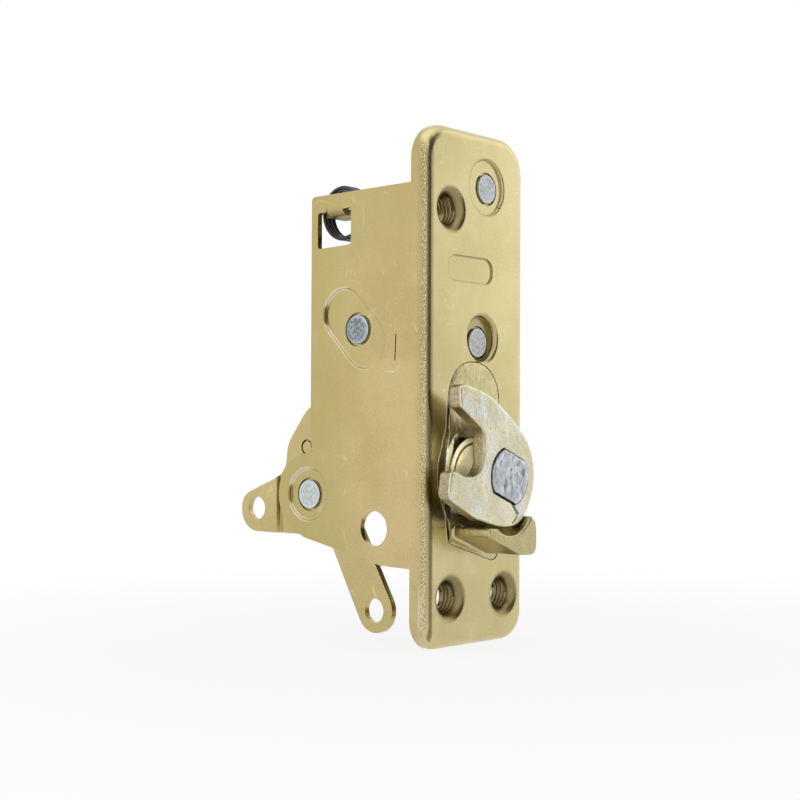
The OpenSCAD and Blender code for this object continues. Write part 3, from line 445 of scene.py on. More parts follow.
def case_finish():
    """The case: the sheet's yellow zinc, a wing darkened with painted shade, drawn edges with painted
    highlight and painted shade, a rim rubbed bright and painted as a highlight, stains with painted shade, a
    painted dark reflection beside the fold, a painted highlight at its low corner and a pitted fold.
    """
    finish, grain, small = yellow_sheet(
        "case_yellow_zinc", CASE_PALE, CASE_DEEP, CASE_WARM, (SHADED_WING_DEEP, SHADED_WING_PALE)
    )
    # Painted shade: the wing darker towards its rear and its top.
    shaded = finish.y.ramp(16.0, 38.0).most(finish.z.ramp(15.0, 48.0) * 0.7) * wing_mask(finish)
    finish.lay(shaded * 0.6, WING_SHADE)

    # Painted highlight and painted shade along the outlines of the wing's recesses, with less metal where the
    # highlight is painted.
    on_wing_face = finish.x.ramp(FOLD_X + 0.10, FOLD_X - 0.15)
    lit, dark = (bands * on_wing_face for bands in drawn_bands(finish))
    finish.lay(lit * 0.95, LIT_BAND)
    finish.lay(dark * 0.65, SHADED_BAND)

    # The opening's rim rubbed bright and painted as a highlight, with less metal so that it shows bright.
    from_rim = finish.from_path(OPENING_RIM, ALONG_Y)
    rim = (from_rim - grain * 0.25).ramp(0.42, 0.12) * finish.y.ramp(0.8, 0.4)
    finish.lay(rim * 0.85, RUBBED_AND_LIT_RIM)

    tongue = finish.x.near(TONGUE_X, 4.6, 4.9) * finish.y.ramp(22.0, 23.0) * finish.z.ramp(43.0, 44.0)
    # Stain with painted shade in the hollows, and a painted dark reflection beside the fold.
    shade_and_stain = shade_and_stains(finish)
    finish.lay(shade_and_stain * 0.50, STAIN_AND_PAINTED_SHADE)
    in_dish = shade_and_stain.ramp(1.05, 1.25) * finish.y.ramp(5.0, 4.0)

    # Painted highlight on the fold's low corner, with less metal so that it shows bright.
    low_corner = finish.x.near(LOW_CORNER_X, 0.3, 1.1) * finish.z.ramp(-46.0, -57.0) * finish.y.ramp(2.2, 1.4)
    low_corner = low_corner * small.ramp(0.30, 0.55)
    finish.lay(low_corner * 0.80, LIT_CORNER)

    fold = finish.x.near(FOLD_X, 0.35, 0.75) * finish.y.ramp(2.2, 1.6)
    pitting = finish.noise(0.32, 3.0)
    finish.lay(pitting.ramp(0.52, 0.40) * fold * 0.60, FOLD_PIT)
    finish.lay(pitting.ramp(0.52, 0.64) * fold * 0.50, FOLD_CREST)

    finish.metal = 1.0 - lit * 0.85 - rim * 0.6 - low_corner * 0.70
    finish.rough = finish.rough + tongue * 0.26 + in_dish * 0.10
    finish.height = finish.height + pitting.ramp(0.35, 0.65) * fold * 2.5
    return finish.surface(0.35, 0.03)


def lever_finish():
    """The levers and the back plate: the same sheet in a deeper yellow."""
    finish, _, _ = yellow_sheet("lever_yellow_zinc", LEVER_PALE, LEVER_DEEP, LEVER_WARM)
    return finish.surface(0.35, 0.03)


# Finish of the casting

CASTING_DEEP, CASTING_PALE = (0.62, 0.54, 0.26), (0.78, 0.71, 0.40)
CASTING_GRAIN, CASTING_SPECK, CASTING_CREST = (0.17, 0.11, 0.04), (0.10, 0.065, 0.02), (0.90, 0.85, 0.62)
# Painted shade behind the claw and beside the rim.
SHADE_BEHIND_CLAW, SHADE_BESIDE_RIM = (0.13, 0.10, 0.036), (0.16, 0.12, 0.045)
# Olive, rust specks, and painted shade for the hollows.
ANVIL_OLIVE, RUST_SPECK, CASTING_PAINTED_SHADE = (0.42, 0.35, 0.16), (0.12, 0.08, 0.03), (0.07, 0.045, 0.018)
# A painted highlight, edges rubbed bright and painted as a highlight, and dark chips.
LIT_CASTING, WORN_AND_LIT_CASTING, CHIPPED_CASTING = (1.0, 0.92, 0.64), (0.94, 0.88, 0.64), (0.16, 0.10, 0.04)


def casting_finish():
    """Yellow zinc on a casting: rougher skin, painted shade in its hollows, behind the claw and beside the
    opening's rim, painted highlight on the boss and a strip, and edges rubbed bright and painted as a
    highlight.
    """
    finish = Finish("casting_yellow_zinc")
    clouds = finish.noise(9.0, 4.0)
    pits = finish.cells(0.7)
    grain = finish.noise(0.40, 4.0)
    specks = finish.noise(0.22, 3.0)
    finish.base = finish.mix(clouds.ramp(0.35, 0.65), CASTING_DEEP, CASTING_PALE)
    finish.lay(grain.ramp(0.50, 0.70) * 0.26, CASTING_GRAIN)
    finish.lay(specks.ramp(0.56, 0.68) * 0.32, CASTING_SPECK)
    finish.lay(grain.ramp(0.46, 0.30) * 0.40, CASTING_CREST)

    # Painted highlight on the boss's face and on a strip beside it, with less metal so that they show bright.
    from_rotor = finish.from_axis(ROTOR, ALONG_Y)
    boss_face = finish.y.ramp(0.7, 0.9) * finish.y.ramp(1.5, 1.3)
    boss_face = boss_face * from_rotor.ramp(BOSS_R + 0.1, BOSS_R - 0.1)
    strip = from_rotor.near(CASTING_STRIP_R, 0.7, 1.1) * finish.z.near(-17.0, 4.5, 6.0)
    strip = strip * finish.x.ramp(-7.0, -8.5) * finish.y.ramp(0.5, 0.2)
    lit = strip.most(boss_face)
    # Painted shade on the face behind the claw.
    behind_claw = from_rotor.ramp(18.0, 13.0) * finish.y.ramp(-0.9, -0.4) * (1.0 - lit)
    finish.lay(behind_claw * clouds.ramp(0.25, 0.60, 0.65, 0.88), SHADE_BEHIND_CLAW)
    # Painted shade beside the opening's rim.
    from_rim = finish.from_path(OPENING_RIM, ALONG_Y)
    beside_rim = (from_rim + grain * 1.2).ramp(3.4, 1.2) * finish.y.ramp(-0.3, -0.1) * (1.0 - lit)
    finish.lay(beside_rim * 0.60, SHADE_BESIDE_RIM)

    on_anvil = finish.y.ramp(-0.3, -1.0)
    finish.lay(on_anvil * clouds.ramp(0.30, 0.65, 0.25, 0.60), ANVIL_OLIVE)
    finish.lay(on_anvil * specks.ramp(0.54, 0.64) * 0.35, RUST_SPECK)
    # Painted shade in the hollows, from the occlusion, kept light on the painted highlight and on the
    # flange's left wall.
    left_wall = finish.x.ramp(-10.5, -11.1) * finish.y.ramp(0.15, 0.45)
    less_shaded = lit.most(left_wall)
    finish.lay(finish.occlusion_shade(4.0, 0.30, 0.90) * (1.0 - less_shaded * 0.75) * 0.85, CASTING_PAINTED_SHADE)
    finish.lay(lit * 0.9, LIT_CASTING)

    # Edges rubbed bright and painted as a highlight, and dark where chipped.
    worn_and_lit = finish.edges(0.6, 0.75, 0.96)
    finish.lay(worn_and_lit * specks.ramp(0.40, 0.55) * 0.7, WORN_AND_LIT_CASTING)
    finish.lay(worn_and_lit * grain.ramp(0.54, 0.62) * 0.55, CHIPPED_CASTING)
    finish.metal = 1.0 - (lit * 0.8).most(left_wall * 0.7)
    finish.rough = 0.22 + grain * 0.16 + worn_and_lit * 0.38 + lit * 0.2
    finish.height = grain * 1.2 + pits.ramp(0.0, 0.5) * 0.6 + specks * 0.5 + finish.noise(2.2, 3.0) * 2.0
    return finish.surface(0.7, 0.07)


# Finish of the claw

CLAW_DEEP, CLAW_PALE, CLAW_COOL = (0.71, 0.67, 0.45), (0.86, 0.83, 0.63), (0.78, 0.81, 0.83)
# The hub's colour is its machined yellow, painted brighter as a highlight.
CLAW_GOLDEN, LIT_CLAW_HUB = (0.60, 0.52, 0.24), (0.96, 0.88, 0.58)
CLAW_FLECK, CLAW_GLINT, CLAW_GRAIN = (0.36, 0.30, 0.16), (0.95, 0.94, 0.86), (0.24, 0.20, 0.11)
# A dark crack, and painted shade for the hollows.
CRACK_DARK, CLAW_PAINTED_SHADE = (0.09, 0.07, 0.03), (0.12, 0.09, 0.05)
# Painted shade on the sides, flecks on the sides, and edges rubbed bright and painted as a highlight.
CLAW_SIDE_SHADE, CLAW_SIDE_FLECK, CLAW_WORN_AND_LIT = (0.27, 0.21, 0.10), (0.85, 0.78, 0.52), (0.90, 0.85, 0.64)


def claw_finish():
    """Pale forged claw: mottled gold and grey zinc with small dark flecks, painted shade on its sides and in
    its hollows, edges rubbed bright and painted as a highlight, and a shiny yellow hub behind, painted
    brighter as a highlight.
    """
    finish = Finish("claw_pale_zinc")
    clouds = finish.noise(7.0, 4.0)
    cool = finish.noise(4.2, 5.0, finish.turned((0, 25, 0), (1, 1, 0.6)))
    flecks = finish.noise(0.50, 5.0)
    grain = finish.noise(0.20, 3.0)
    finish.base = finish.mix(clouds.ramp(0.38, 0.62), CLAW_DEEP, CLAW_PALE)
    finish.lay(cool.ramp(0.48, 0.66) * 0.60, CLAW_COOL)
    finish.lay(finish.x.ramp(4.0, 11.0) * clouds.ramp(0.35, 0.55) * 0.55, CLAW_GOLDEN)
    finish.lay(flecks.ramp(0.54, 0.68) * 0.60, CLAW_FLECK)
    finish.lay(grain.ramp(0.54, 0.66) * 0.50, CLAW_GLINT)
    finish.lay(grain.ramp(0.44, 0.34) * 0.60, CLAW_GRAIN)

    beside_shaft = finish.from_line(*CLAW_CRACK[:2], ALONG_Y) - CRACK_WIDENING
    from_crack = finish.from_path(CLAW_CRACK, ALONG_Y).least(beside_shaft)
    crack = (from_crack + flecks * 0.9).ramp(0.85, 0.45) * finish.y.ramp(-9.0, -9.5)
    finish.lay(crack * 0.85, CRACK_DARK)

    hub = finish.y.ramp(-6.2, -5.6)
    sides = finish.y.ramp(-9.80, -9.35)
    worn_and_lit = finish.edges(0.42, 0.78, 0.96) * finish.noise(1.4, 3.0).ramp(0.42, 0.60, 0.25, 1.0)
    # Painted shade in the hollows, from the occlusion, lighter on the hub.
    finish.lay(finish.occlusion_shade(1.5, 0.35, 0.85) * 0.6 * (1.0 - hub * 0.7), CLAW_PAINTED_SHADE)
    # Painted shade on the claw's sides.
    finish.lay(sides * clouds.ramp(0.25, 0.60, 0.62, 0.90) * (1.0 - hub), CLAW_SIDE_SHADE)
    finish.lay(sides * flecks.ramp(0.48, 0.60) * 0.35, CLAW_SIDE_FLECK)
    # Edges rubbed bright, with a painted highlight along them.
    finish.lay(worn_and_lit * flecks.ramp(0.44, 0.58) * 0.50, CLAW_WORN_AND_LIT)
    # The hub's machined yellow, painted brighter as a highlight, with less metal so that it shows bright.
    finish.lay(hub * 0.9, LIT_CLAW_HUB)

    finish.metal = 1.0 - hub * 0.45
    finish.rough = (0.22 + clouds * 0.06 + grain * 0.10 + worn_and_lit * 0.35) * (1.0 - hub) + hub * 0.30
    skin = flecks * (1.6 + worn_and_lit * 3.0) + grain * 0.8 + finish.noise(2.6, 3.0) * 2.2 - crack * 2.0
    finish.height = skin * (1.0 - hub * 0.9)
    return finish.surface(0.6, 0.06)


# Finishes of the rivets, the shaft, the springs and the inner pieces

BRIGHT_ZINC = ((0.36, 0.38, 0.38), (0.54, 0.56, 0.56))
PAWL_ZINC = ((0.38, 0.39, 0.38), (0.58, 0.58, 0.57))
DULL_ZINC = ((0.15, 0.185, 0.20), (0.34, 0.39, 0.41))
PALE_ZINC = ((0.44, 0.50, 0.48), (0.60, 0.66, 0.64))
HAMMERED_ZINC = ((0.44, 0.47, 0.50), (0.68, 0.69, 0.75))
# Turned rings, and the rim's painted highlight.
RIVET_RING, RIVET_LIT_RIM = (0.72, 0.75, 0.77), (0.66, 0.70, 0.73)
RIVET_GLINT, RIVET_GRAIN = (0.80, 0.82, 0.86), (0.13, 0.15, 0.17)
WIRE_DARK, WIRE_PALE = (0.008, 0.013, 0.016), (0.020, 0.030, 0.036)
STEEL_DARK, STEEL_PALE, STEEL_LINE = (0.30, 0.30, 0.29), (0.48, 0.48, 0.46), (0.14, 0.13, 0.11)
BRONZE_DARK, BRONZE_PALE, BRONZE_PORE = (0.24, 0.165, 0.06), (0.40, 0.29, 0.12), (0.12, 0.07, 0.03)


def rivet_finish(name, centre, along, radius, shades, rings=0.0, patch=0.9):
    """Bright zinc on a rivet's end: fine mottling, a lighter rim that is a painted highlight and, where it
    was turned, faint rings.
    """
    finish = Finish(name)
    out = finish.from_axis(centre, along)
    patches = finish.noise(patch, 6.0)
    dents = finish.cells(0.6, "SMOOTH_F1")
    grain = finish.noise(0.16, 3.0)
    turned = finish.maths("SINE", out * 11.0 + patches * 3.0)
    finish.base = finish.mix(patches.ramp(0.38, 0.62), *shades)
    finish.lay(turned.ramp(0.2, 0.9) * rings, RIVET_RING)
    # Painted highlight on the rounded rim.
    finish.lay(out.ramp(radius * 0.72, radius * 0.95) * 0.55, RIVET_LIT_RIM)
    finish.lay(grain.ramp(0.54, 0.68) * 0.40, RIVET_GLINT)
    finish.lay(grain.ramp(0.44, 0.32) * 0.40, RIVET_GRAIN)
    finish.rough = 0.26 + patches * 0.14
    finish.height = dents * 1.2 + patches * 1.5 + grain * 0.6 + turned * rings * 0.5
    return finish.surface(0.6, 0.06)


def spring_finish():
    """Black oiled spring wire."""
    finish = Finish("black_spring_wire")
    patches = finish.noise(1.8, 3.0)
    drawn = finish.noise(0.25, 3.0)
    finish.base = finish.mix(patches.ramp(0.4, 0.65), WIRE_DARK, WIRE_PALE)
    finish.metal = 0.0
    finish.rough = 0.16 + drawn * 0.14
    finish.height = drawn
    return finish.surface(0.2, 0.01, coat=0.25)


def steel_finish():
    """Oiled steel of the pieces inside the lock."""
    finish = Finish("oiled_steel")
    clouds = finish.noise(6.0, 4.0)
    lines = finish.noise(0.3, 3.0, finish.turned((0, 0, 20), (0.08, 1, 1)))
    finish.base = finish.mix(clouds.ramp(0.35, 0.65), STEEL_DARK, STEEL_PALE)
    finish.lay(lines.ramp(0.6, 0.8) * 0.3, STEEL_LINE)
    finish.rough = 0.34 + lines * 0.2
    finish.height = lines
    return finish.surface(0.3, 0.02)


def bronze_finish():
    """Sintered bronze of the bush."""
    finish = Finish("sintered_bronze")
    pores = finish.cells(0.35)
    clouds = finish.noise(4.0, 3.0)
    finish.base = finish.mix(clouds.ramp(0.35, 0.65), BRONZE_DARK, BRONZE_PALE)
    finish.lay(pores.ramp(0.35, 0.1) * 0.5, BRONZE_PORE)
    finish.rough = 0.4 + clouds * 0.15
    finish.height = pores
    return finish.surface(0.4, 0.03)


RIVET_R = 3.7
SHAFT_R = 7.5
FINISHES = {
    "case": case_finish(),
    "sheet": lever_finish(),
    "casting": casting_finish(),
    "claw": claw_finish(),
    "rivet": rivet_finish("bright_rivet_zinc", UPPER_RIVET, ALONG_Y, RIVET_R, BRIGHT_ZINC, rings=0.35),
    "pawl_rivet": rivet_finish("pawl_rivet_zinc", PAWL_PIN, ALONG_Y, RIVET_R, PAWL_ZINC),
    "dull_rivet": rivet_finish("dull_rivet_zinc", RELEASE_PIN, ALONG_X, RIVET_R, DULL_ZINC),
    "pale_rivet": rivet_finish("pale_rivet_zinc", CRANK_PIN, ALONG_X, RIVET_R, PALE_ZINC),
    "shaft": rivet_finish("hammered_shaft_zinc", ROTOR, ALONG_Y, SHAFT_R, HAMMERED_ZINC, patch=2.4),
    "spring": spring_finish(),
    "steel": steel_finish(),
    "bronze": bronze_finish(),
}

NODE_FINISH = {
    "case": "case", "anvil_housing": "casting", "claw": "claw", "rotor_shaft": "shaft",
    "rotor_bush": "bronze", "ratchet": "steel", "rotor_spring": "spring", "rotor_clip": "steel",
    "claw_stop": "steel", "pawl": "steel", "pawl_pin": "pawl_rivet", "pawl_sleeve": "steel",
    "back_sleeve": "steel", "pawl_spring": "spring", "back_plate": "sheet", "upper_rivet": "rivet",
    "upper_sleeve": "steel", "release_lever": "sheet", "release_pin": "dull_rivet", "release_washer": "steel",
    "ear_lever": "sheet", "lower_lever": "sheet", "lever_rivet": "sheet", "crank_pin": "pale_rivet",
    "crank_washer": "steel", "return_spring": "spring",
}


def dress(piece, finish_name):
    """Gives a piece one of the finishes, in place of what it wears."""
    piece.data.materials.clear()
    piece.data.materials.append(FINISHES[finish_name])


# Mesh helpers

SHARP_DEGREES = 28
FLAT_DEGREES = 0.6


def only(piece):
    """Selects one object and makes it the active one."""
    bpy.ops.object.select_all(action="DESELECT")
    piece.select_set(True)
    bpy.context.view_layer.objects.active = piece


def apply_all(piece):
    """Applies all of a piece's modifiers."""
    only(piece)
    for modifier in list(piece.modifiers):
        bpy.ops.object.modifier_apply(modifier=modifier.name)


def loose_copy(node_name):
    """A copy of a node, with its own mesh and its doubles merged, that rides on nothing yet."""
    piece = NODES[node_name].copy()
    piece.data = NODES[node_name].data.copy()
    piece.name = node_name + "_finished"
    piece.parent = None
    for key in list(piece.keys()):
        del piece[key]
    bpy.context.scene.collection.objects.link(piece)
    only(piece)
    bpy.ops.object.mode_set(mode="EDIT")
    bpy.ops.mesh.select_all(action="SELECT")
    bpy.ops.mesh.remove_doubles(threshold=0.002 * MM)
    bpy.ops.object.mode_set(mode="OBJECT")
    return piece


def show_instead(piece, node_name):
    """Dresses a node's finished copy and shows it in the node's place."""
    bodies = BEHAVIOUR["bodies"]
    dress(piece, NODE_FINISH[node_name])
    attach(piece, next(body for body in bodies if node_name in bodies[body]))
    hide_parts(node_name)


def pick_vertices(piece, wanted):
    """In edit mode, selects the vertices that are wanted by their place and normal."""
    bpy.ops.mesh.select_mode(type="VERT")
    bpy.ops.mesh.select_all(action="DESELECT")
    cage = bmesh.from_edit_mesh(piece.data)
    for vertex in cage.verts:
        vertex.select = wanted(vertex.co, vertex.normal)
    cage.select_flush(True)
    bmesh.update_edit_mesh(piece.data)


def mark_edges(piece, wanted):
    """In edit mode, leaves a bevel weight on the sharp edges whose two ends are wanted, and on no others."""
    bpy.ops.mesh.select_mode(type="EDGE")
    bpy.ops.mesh.select_all(action="SELECT")
    bpy.ops.transform.edge_bevelweight(value=-1.0)
    bpy.ops.mesh.select_all(action="DESELECT")
    bpy.ops.mesh.edges_select_sharp(sharpness=math.radians(SHARP_DEGREES))
    cage = bmesh.from_edit_mesh(piece.data)
    for edge in cage.edges:
        edge.select = edge.select and all(wanted(end.co) for end in edge.verts)
    bmesh.update_edit_mesh(piece.data)
    bpy.ops.transform.edge_bevelweight(value=1.0)
    bpy.ops.mesh.select_mode(type="VERT")


def round_marked(piece, width, segments):
    """Rounds the edges that carry a bevel weight, and goes back to edit mode."""
    bpy.ops.object.mode_set(mode="OBJECT")
    rounding = piece.modifiers.new("edge rounding", "BEVEL")
    rounding.width = width * MM
    rounding.segments = segments
    rounding.limit_method = "WEIGHT"
    rounding.use_clamp_overlap = False
    apply_all(piece)
    bpy.ops.object.mode_set(mode="EDIT")


# Rounded edges of the sheet, the levers and the rivets

SOFT_EDGES = {
    "case": 0.15, "ear_lever": 0.18, "lower_lever": 0.18, "upper_rivet": 0.25, "pawl_pin": 0.25,
    "release_pin": 0.20, "crank_pin": 0.20, "lever_rivet": 0.20,
}
RECESS_ROUNDING = 0.38


def on_wing_recess(spot):
    """True on the outlines of the wing's two recesses, on its face and on their floors."""
    x, y, z = spot / MM
    level = min(abs(x - WING_FACE_X), abs(x - WING_RECESS_FLOOR_X)) < 0.02
    crank = abs(math.dist((y, z), CRANK_PIN) - CRANK_RECESS_R) < 0.08
    low, high = RELEASE_RECESS_BOX
    in_box = low[0] < y < high[0] and low[1] < z < high[1]
    release = in_box and math.dist((y, z), RELEASE_PIN) > PIN_HOLE_R
    return level and (crank or release)


def soft_on_case(spot):
    """True where the sheet's edges are rounded, and False where they stay as punched."""
    return not any(
        all(start < place < end for start, place, end in zip(low, spot / MM, high))
        for low, high in CRISP_BOXES.values()
    )


def softened(node_name, width):
    """A copy of a node with its sharp edges rounded, shown in the node's place."""
    piece = loose_copy(node_name)
    bpy.ops.object.mode_set(mode="EDIT")
    bpy.ops.mesh.select_all(action="SELECT")
    bpy.ops.mesh.dissolve_limited(angle_limit=math.radians(FLAT_DEGREES))
    if node_name == "case":
        mark_edges(piece, on_wing_recess)
        round_marked(piece, RECESS_ROUNDING, 4)
        mark_edges(piece, soft_on_case)
    else:
        mark_edges(piece, lambda spot: True)
    round_marked(piece, width, 2)
    bpy.ops.object.mode_set(mode="OBJECT")
    bpy.ops.object.shade_smooth_by_angle(angle=math.radians(32))
    flat = piece.modifiers.new("flat faces stay flat", "WEIGHTED_NORMAL")
    flat.keep_sharp = True
    flat.weight = 80
    apply_all(piece)
    show_instead(piece, node_name)


# Uneven skins of the casting, the claw and the shaft's hammered end


def on_flange_wall(spot, normal):
    """True on the wall of the casting's flange that faces the opening of the sheet."""
    return abs(normal.y) < 0.8 and -0.4 * MM < spot.y < 1.8 * MM


def on_hammered_end(spot, _):
    """True on the end of the shaft that stands proud of the claw."""
    return spot.y < -9.9 * MM


def forged(node_name, grain, rounds, skin, skin_grain, swell_on=None, swell=0.0, uneven_on=None):
    """A copy of a node with the soft edges and slightly uneven skin of a casting, in the node's place.

    Vertices that swell_on picks are moved out by swell. The skin is uneven where uneven_on picks, or all
    over, and is set back by SKIN_INSET, which keeps the casting's crests inside the solids' box."""
    piece = loose_copy(node_name)
    even = piece.modifiers.new("even skin", "REMESH")
    even.mode = "VOXEL"
    even.voxel_size = grain * MM
    soft = piece.modifiers.new("soft edges", "SMOOTH")
    soft.factor = 0.5
    soft.iterations = rounds
    apply_all(piece)
    if swell_on:
        bpy.ops.object.mode_set(mode="EDIT")
        pick_vertices(piece, swell_on)
        bpy.ops.transform.shrink_fatten(value=swell * MM)
        bpy.ops.object.mode_set(mode="OBJECT")
    relief = bpy.data.textures.new(node_name + "_skin", "CLOUDS")
    relief.noise_scale = skin_grain * MM
    uneven = piece.modifiers.new("uneven skin", "DISPLACE")
    uneven.texture = relief
    uneven.texture_coords = "LOCAL"
    uneven.mid_level = 0.5 + SKIN_INSET / skin
    uneven.strength = skin * MM
    if uneven_on:
        bpy.ops.object.mode_set(mode="EDIT")
        pick_vertices(piece, uneven_on)
        bpy.ops.object.vertex_group_add()
        bpy.ops.object.vertex_group_assign()
        bpy.ops.object.mode_set(mode="OBJECT")
        uneven.vertex_group = piece.vertex_groups[0].name
    apply_all(piece)
    bpy.ops.object.shade_smooth_by_angle(angle=math.radians(50))
    show_instead(piece, node_name)


def drawn_wire(node_name):
    """A copy of a spring with its wire rounded, in the node's place."""
    piece = loose_copy(node_name)
    rounding = piece.modifiers.new("round wire", "SUBSURF")
    rounding.levels = rounding.render_levels = 2
    apply_all(piece)
    bpy.ops.object.shade_smooth_by_angle(angle=math.radians(80))
    show_instead(piece, node_name)


# Threads of the fixing holes

FLANK_ROOT_SHARE = 0.92
FLANK_CREST_SHARE = 0.2
STEPS_PER_TURN = 40


def thread_turns(hole, bore, crest, pitch, start, end):
    """The turns of a screw thread on the wall of a hole along Y: one flank profile, wound round the hole."""
    width = FLANK_ROOT_SHARE * pitch
    half_way = (bore + crest) / 2
    bpy.ops.object.select_all(action="DESELECT")
    bpy.ops.mesh.primitive_plane_add(size=width * MM, location=mm(hole[0], 0, hole[1]))
    piece = bpy.context.object
    bpy.ops.object.mode_set(mode="EDIT")
    bpy.ops.mesh.select_all(action="SELECT")
    bpy.ops.transform.resize(value=((bore - crest) / width, 1, 1), center_override=mm(hole[0], 0, hole[1]))
    bpy.ops.transform.translate(value=mm(half_way - 0.01, start, 0))
    pick_vertices(piece, lambda spot, _: spot.x < half_way * MM)
    bpy.ops.transform.resize(value=(1, FLANK_CREST_SHARE, 1), center_override=mm(hole[0], start, hole[1]))
    bpy.ops.mesh.select_all(action="SELECT")
    bpy.ops.mesh.delete(type="ONLY_FACE")
    bpy.ops.object.mode_set(mode="OBJECT")
    turns = (end - start) / pitch
    winding = piece.modifiers.new("winding", "SCREW")
    winding.axis = "Y"
    winding.angle = turns * math.tau
    winding.screw_offset = (end - start) * MM
    winding.steps = winding.render_steps = int(turns * STEPS_PER_TURN)
    winding.use_merge_vertices = True
    winding.merge_threshold = 0.001 * MM
    apply_all(piece)
    bpy.ops.object.mode_set(mode="EDIT")
    bpy.ops.mesh.select_all(action="SELECT")
    bpy.ops.mesh.fill_holes(sides=4)
    bpy.ops.mesh.select_all(action="SELECT")
    bpy.ops.mesh.normals_make_consistent(inside=False)
    bpy.ops.object.mode_set(mode="OBJECT")
    bpy.ops.object.shade_smooth_by_angle(angle=math.radians(40))
    return piece


def settle(piece, name, body, finish_name):
    """Names a finished piece, puts its object at the origin and gives it its body and finish."""
    piece.name = name
    only(piece)
    bpy.ops.object.transform_apply(location=True, rotation=True, scale=True)
    dress(piece, finish_name)
    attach(piece, body)


def threads():
    """The threads of the three fixing holes, wound once and copied."""
    wound = thread_turns(FIXING_HOLES["upper"], **THREAD)
    pieces = {"upper": wound}
    for label in ("lower_inner", "lower_outer"):
        copied = wound.copy()
        copied.data = wound.data.copy()
        bpy.context.scene.collection.objects.link(copied)
        copied.location = mm(FIXING_HOLES[label][0], 0, FIXING_HOLES[label][1])
        pieces[label] = copied
    for label, piece in pieces.items():
        settle(piece, "thread_" + label, "lock_case", "case")


# Stage, light and camera

WHITE = (1.0, 1.0, 1.0, 1.0)
FLOOR_GREY = (0.86, 0.86, 0.86, 1.0)
SKY_LIGHT = 0.55
CARD_AWAY = 0.6
CAMERA_PLACE = (-309.116, -239.034, -13.054)
CAMERA_RIGHT = Vector((0.650315, -0.759652, 0.004385))
CAMERA_UP = Vector((-0.021545, -0.012674, 0.999688))
CAMERA_AHEAD = Vector((0.759359, 0.650206, 0.024609))
CAMERA_LENS = 68.674
HUB_SEEN = mm(-5.2, 0.2, -17.0)
STRIP_SEEN = mm(-9.9, 0.0, -16.0)


def floor():
    """A pale floor that stays white to the camera and keeps the shadow."""
    bpy.ops.object.select_all(action="DESELECT")
    bpy.ops.mesh.primitive_plane_add(size=6.0, location=(0, 0, solids_box[0][2] - 0.02 * MM))
    sheet = bpy.context.object
    sheet.name = "floor"
    finish = Finish("pale_floor")
    paint = finish.node("ShaderNodeBsdfDiffuse", {}, {"Color": FLOOR_GREY}, "BSDF")
    glow = finish.node("ShaderNodeEmission", {}, {"Color": WHITE, "Strength": 1.0}, "Emission")
    away = (finish.x * finish.x + finish.y * finish.y) ** 0.5
    share = finish.rays_that_show() * away.ramp(60.0, 260.0, 0.86, 1.0)
    finish.show(finish.node("ShaderNodeMixShader", {}, {0: share, 1: paint, 2: glow}, "Shader"))
    sheet.data.materials.append(finish.material)


def studio_sky():
    """A white room to the camera and in reflections; a softer grey one for the light it gives."""
    world = bpy.data.worlds.new("studio")
    bpy.context.scene.world = world
    sky = Tree(world)
    seen = sky.rays_that_show()
    inputs = {"Color": WHITE, "Strength": seen + (1 - seen) * SKY_LIGHT}
    shade = sky.node("ShaderNodeBackground", {}, inputs, "Background")
    sky.node("ShaderNodeOutputWorld", {}, {"Surface": shade})


def grey_card(name, bearing, rise, width, height, level):
    """A grey card that only the metal's reflections show, like the dark side of a studio."""
    bpy.ops.object.select_all(action="DESELECT")
    across, lift = math.radians(bearing), math.radians(rise)
    way = Vector((math.cos(across) * math.cos(lift), math.sin(across) * math.cos(lift), math.sin(lift)))
    bpy.ops.mesh.primitive_plane_add(size=1.0, location=way * CARD_AWAY)
    card = bpy.context.object
    card.name = name
    card.rotation_euler = (-way).to_track_quat("Z", "Y").to_euler()
    card.scale = (width, height, 1)
    finish = Finish(name + "_grey")
    inputs = {"Color": (level, level, level, 1.0), "Strength": 1.0}
    finish.show(finish.node("ShaderNodeEmission", {}, inputs, "Emission"))
    card.data.materials.append(finish.material)
    card.visible_camera = card.visible_diffuse = card.visible_shadow = card.visible_transmission = False


def hang(name, lamp, place, target):
    """Hangs a lamp at a place, aimed at a target and unseen by the camera."""
    holder = bpy.data.objects.new(name, lamp)
    bpy.context.scene.collection.objects.link(holder)
    holder.location = place
    holder.rotation_euler = (Vector(target) - Vector(place)).to_track_quat("-Z", "Y").to_euler()
    holder.visible_camera = False


def soft_lamp(name, place, target, size, watts):
    """A rectangular lamp as large as a soft box."""
    lamp = bpy.data.lights.new(name, "AREA")
    lamp.shape = "RECTANGLE"
    lamp.size, lamp.size_y = size
    lamp.energy = watts
    hang(name, lamp, place, target)


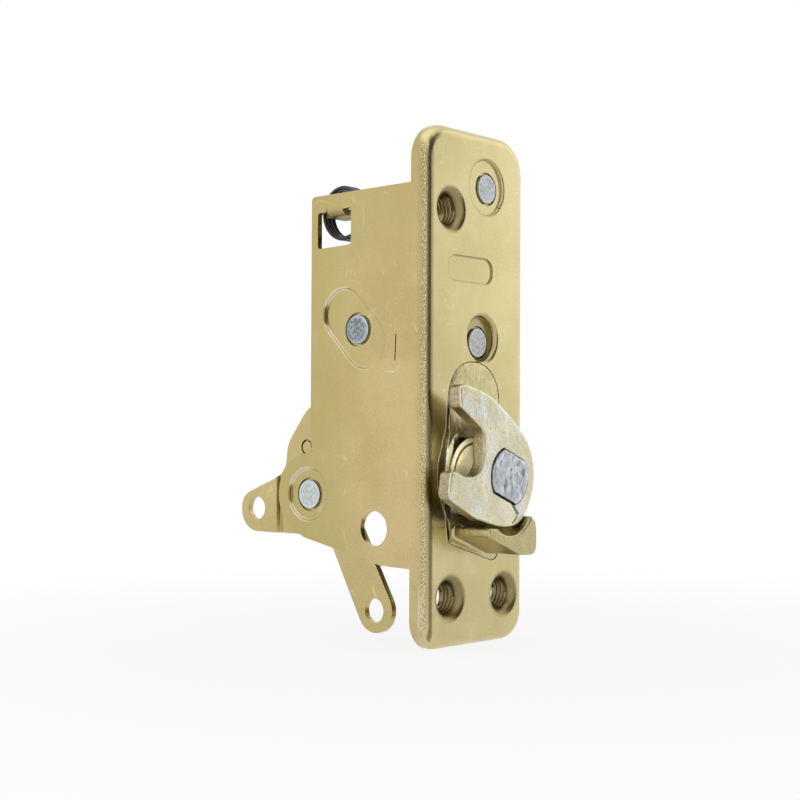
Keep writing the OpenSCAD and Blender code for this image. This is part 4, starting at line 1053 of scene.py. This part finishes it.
def narrow_lamp(name, place, target, reach, watts):
    """A spot that lights one small place softly."""
    lamp = bpy.data.lights.new(name, "SPOT")
    lamp.spot_size = 2 * math.atan(reach * MM / math.dist(place, target))
    lamp.spot_blend = 1.0
    lamp.shadow_soft_size = 0.004
    lamp.energy = watts
    hang(name, lamp, place, target)


def camera():
    """The photograph's own view, worked out from the faceplate, the wing and the round features."""
    lens = bpy.data.cameras.new("camera")
    lens.sensor_width = 36.0
    lens.lens = CAMERA_LENS
    lens.clip_start = 0.01
    holder = bpy.data.objects.new("camera", lens)
    bpy.context.scene.collection.objects.link(holder)
    turn = Matrix((CAMERA_RIGHT, CAMERA_UP, -CAMERA_AHEAD)).transposed().to_4x4()
    holder.matrix_world = Matrix.Translation(mm(*CAMERA_PLACE)) @ turn
    bpy.context.scene.camera = holder


# The lock is dressed and lit

for node_name, finish_name in NODE_FINISH.items():
    dress(NODES[node_name], finish_name)
for node_name, width in SOFT_EDGES.items():
    softened(node_name, width)
forged("anvil_housing", grain=0.30, rounds=3, skin=0.10, skin_grain=1.2, swell_on=on_flange_wall, swell=0.09)
forged("claw", grain=0.22, rounds=4, skin=0.10, skin_grain=1.6)
forged("rotor_shaft", grain=0.20, rounds=2, skin=0.45, skin_grain=2.0, uneven_on=on_hammered_end)
drawn_wire("return_spring")
threads()

floor()
studio_sky()
grey_card("front_card", -72, 0, 0.54, 1.4, 0.09)
grey_card("low_card", -40, -44, 0.90, 0.62, 0.12)
soft_lamp("key", (0.62, -0.28, 0.30), (0, 0.01, 0), (0.4, 0.6), 0.3)
soft_lamp("wing_fill", (-0.62, 0.42, 0.20), (0, 0.01, 0), (0.6, 0.6), 0.12)
soft_lamp("top", (-0.12, -0.05, 0.70), (0, 0.02, 0), (0.7, 0.7), 0.7)
soft_lamp("fold_glint", (-0.27, -0.53, 0.05), (-0.02, 0, 0), (0.07, 0.9), 0.12)
narrow_lamp("hub_glint", (-0.119, -0.097, -0.002), HUB_SEEN, 3.0, 2.6)
narrow_lamp("strip_glint", (-0.124, -0.097, -0.002), STRIP_SEEN, 2.6, 1.2)
camera()
bpy.context.scene.view_settings.view_transform = "Standard"
